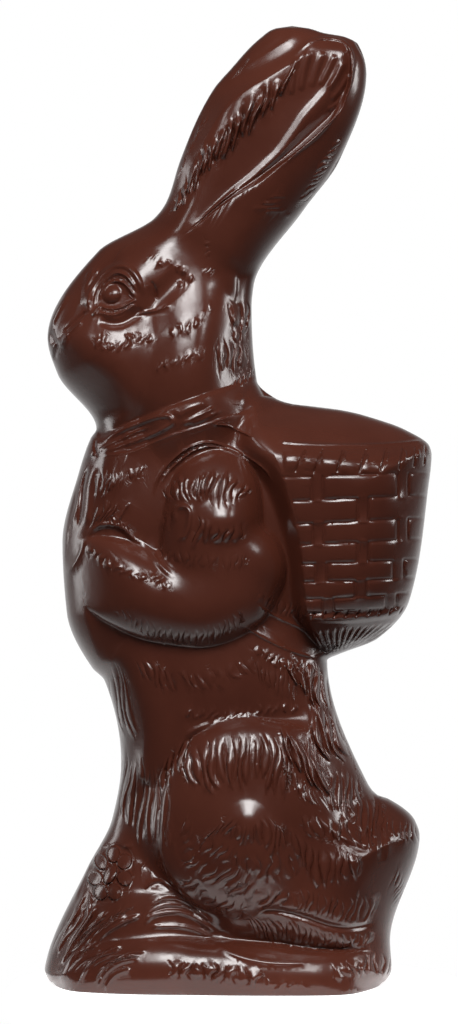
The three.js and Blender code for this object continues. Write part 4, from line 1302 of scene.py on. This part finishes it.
cloud, grain = noise(CLOUD_SCALE, CLOUD_DETAIL), noise(GRAIN_SCALE, GRAIN_DETAIL)
tone = added(recipe, "ValToRGB", {"Fac": cloud})
stops = zip(tone.color_ramp.elements, (DEEP_BELOW, WARM_ABOVE), (DEEP_BROWN, WARM_BROWN))
for stop, place, brown in stops:
    stop.position = place
    stop.color = brown
gloss = added(recipe, "MapRange", {"Value": cloud, "To Min": GLOSSY, "To Max": SATIN})
recipe.links.new(tone.outputs["Color"], shader.inputs["Base Color"])
recipe.links.new(gloss.outputs["Result"], shader.inputs["Roughness"])
bump = added(recipe, "Bump", {"Strength": GRAIN_STRENGTH, "Distance": GRAIN_DEPTH, "Height": grain})
figure.data.materials.append(chocolate)
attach(figure, "root")
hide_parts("figure")

# %% [markdown]
# The creases between the locks come from the marks. The running number is a whole number
# where two locks meet, so its distance from the nearest whole number makes a sharp crease
# there, and three times that number gives the finer strands of each lock. A fine line's
# number is nought along its middle, so the same nodes carve it, without strands, or
# raise it where its strength is less than nought. A normal map could hold all this, but
# it would need an image.

# %% Creases between the locks
CREASE_DEPTH, CREASE_SHARP, STRANDS, STRAND_DEPTH = 0.00035, 3.5, 3, 0.28
PATCH_SCALE, PATCH_FROM, PATCH_TO = 260, 0.45, 0.65


def worked(tree, operation, *values):
    """A Math node's output, from values that are numbers or other nodes' outputs."""
    return added(tree, "Math", dict(enumerate(values)), operation=operation).outputs["Value"]


def creases(running):
    """1 where the running number is whole, falling off steeply on both sides."""
    away = worked(recipe, "PINGPONG", running, 0.5)
    return worked(recipe, "POWER", worked(recipe, "MULTIPLY_ADD", away, -2, 1), CREASE_SHARP)


strands = added(recipe, "MapRange", {
    "Value": noise(PATCH_SCALE), "From Min": PATCH_FROM, "From Max": PATCH_TO, "To Max": STRAND_DEPTH,
}).outputs["Result"]
cut = 0.0
for layer in range(LAYERS):
    mark = added(recipe, "Attribute", attribute_name=f"locks {layer}").outputs["Vector"]
    parts = added(recipe, "SeparateXYZ", {"Vector": mark}).outputs
    both = creases(parts["X"])
    if layer != LINES:
        finer = creases(worked(recipe, "MULTIPLY", parts["X"], STRANDS))
        both = worked(recipe, "MULTIPLY_ADD", finer, strands, both)
    cut = worked(recipe, "MULTIPLY_ADD", both, parts["Y"], cut)
combing = added(recipe, "Bump", {
    "Distance": CREASE_DEPTH, "Height": cut, "Normal": bump.outputs["Normal"],
}, invert=True)
recipe.links.new(combing.outputs["Normal"], shader.inputs["Normal"])
print("nodes in the chocolate:", len(recipe.nodes))

# %% [markdown]
# Dark gloss shows the room it stands in, so the studio is built for its reflections. The
# figure stands on a small round white table, which puts a grey sheen on what faces down.
# White paper behind it draws a thin light rim round it, and the room in front is dark.

# %% The table
TABLE_RADIUS, TABLE_THICKNESS, TABLE_SIDES, TABLE_BEVEL, TABLE_GLOW = 0.058, 0.01, 96, 0.002, 0.9
ENAMEL = {
    "Base Color": (0.8, 0.8, 0.8, 1), "Roughness": 0.8,
    "Emission Color": (1, 1, 1, 1), "Emission Strength": TABLE_GLOW,
}
bpy.ops.object.select_all(action="DESELECT")
bpy.ops.mesh.primitive_cylinder_add(
    vertices=TABLE_SIDES, radius=TABLE_RADIUS, depth=TABLE_THICKNESS, location=(0, 0, -TABLE_THICKNESS / 2)
)
table = bpy.context.object
table.name = "white table"
bpy.ops.object.modifier_add(type="BEVEL")
table.modifiers[-1].width = TABLE_BEVEL
bpy.ops.object.modifier_apply(modifier=table.modifiers[-1].name)
enamel = bpy.data.materials.new("white enamel")
enamel.use_nodes = True
for socket, value in ENAMEL.items():
    enamel.node_tree.nodes["Principled BSDF"].inputs[socket].default_value = value
table.data.materials.append(enamel)

# %% [markdown]
# A broad key in front, above, with a brighter core, gives the soft highlights, a small key
# on each side the sharp ones, and a tall box behind each side lights the flanks. They are
# area lights, because a soft box shows in gloss as a clean bright patch. Power is worked out
# from size, so that a box keeps its brightness when it is made larger or smaller.

# %% The lights
LIGHT_AIM = (0, 0, 0.12)
SOFT_BOXES = {
    "key soft box": ((0, -0.8, 0.95), (1.0, 0.5), 7),
    "core of the key": ((0, -0.79, 0.94), (0.55, 0.32), 13),
    "right soft box": ((1.0, 0.3, 0.38), (0.1, 0.5), 14),
    "right key": ((0.75, -0.5, 0.75), (0.12, 0.25), 14),
    "left key": ((-0.75, -0.5, 0.75), (0.1, 0.2), 9),
    "left soft box": ((-1.0, 0.6, 0.3), (0.2, 0.7), 4),
}


def soft_box(name, place, size, glow):
    """A soft box of a given brightness, whatever its size, that faces the figure."""
    light = bpy.data.lights.new(name, "AREA")
    light.shape = "RECTANGLE"
    light.size, light.size_y = size
    light.energy = glow * math.pi * size[0] * size[1]
    lamp = bpy.data.objects.new(name, light)
    bpy.context.collection.objects.link(lamp)
    lamp.location = place
    way = [LIGHT_AIM[i] - place[i] for i in range(3)]
    yaw = math.atan2(way[1], way[0]) - math.pi / 2
    lamp.rotation_euler = (math.atan2(math.hypot(way[0], way[1]), -way[2]), 0, yaw)


for name, (place, size, glow) in SOFT_BOXES.items():
    soft_box(name, place, size, glow)
print("lights:", ", ".join(SOFT_BOXES))

# %% [markdown]
# The world is white paper behind and below, which fades out to both sides, and dark in
# front. Only to the camera is it white all over.

# %% The room
ROOM_DARK, PAPER_WHITE = 0.05, 0.9
PAPER_WAY, PAPER_EDGE, PAPER_FULL = (0, 0.6, -0.8), 0.05, 0.75
PAPER_SIDE, PAPER_MIDDLE = 0.95, 0.45
world = bpy.context.scene.world or bpy.data.worlds.new("studio")
bpy.context.scene.world = world
world.use_nodes = True
studio = world.node_tree
background = studio.nodes["Background"]
background.inputs["Color"].default_value = (1, 1, 1, 1)


def graded(value, least, full, most=1.0):
    """0 where the value is least, rising softly to most where it is full."""
    sockets = {"Value": value, "From Min": least, "From Max": full, "To Max": most}
    return added(studio, "MapRange", sockets, interpolation_type="SMOOTHSTEP").outputs["Result"]


way = added(studio, "TexCoord").outputs["Generated"]
toward = added(studio, "VectorMath", {0: way, 1: PAPER_WAY}, operation="DOT_PRODUCT").outputs["Value"]
aside = worked(studio, "ABSOLUTE", added(studio, "SeparateXYZ", {"Vector": way}).outputs["X"])
paper = graded(toward, PAPER_EDGE, PAPER_FULL, PAPER_WHITE)
lit = worked(studio, "MULTIPLY_ADD", paper, graded(aside, PAPER_SIDE, PAPER_MIDDLE), ROOM_DARK)
seen = added(studio, "LightPath").outputs["Is Camera Ray"]
studio.links.new(worked(studio, "MAXIMUM", lit, seen), background.inputs["Strength"])

# %% [markdown]
# The camera stands square to the parting plane at the figure's half height. A long lens
# keeps near and far forms alike in size, as the photograph does.

# %% The camera
VIEW_AT = (-0.00225, 0.0, 0.1175)
DISTANCE, VIEW_HEIGHT, SENSOR, FAR_CLIP = 1.1, 0.256, 36.0, 20
camera_data = bpy.data.cameras.new("camera")
camera_data.sensor_width = SENSOR
camera_data.lens = SENSOR * DISTANCE / VIEW_HEIGHT
camera_data.clip_end = FAR_CLIP
camera = bpy.data.objects.new("camera", camera_data)
bpy.context.collection.objects.link(camera)
camera.location = (VIEW_AT[0], -DISTANCE, VIEW_AT[2])
camera.rotation_euler = (math.radians(90), 0, 0)
bpy.context.scene.camera = camera
bpy.context.scene.view_settings.view_transform = "Standard"
print("lens:", round(camera_data.lens, 1), "mm")
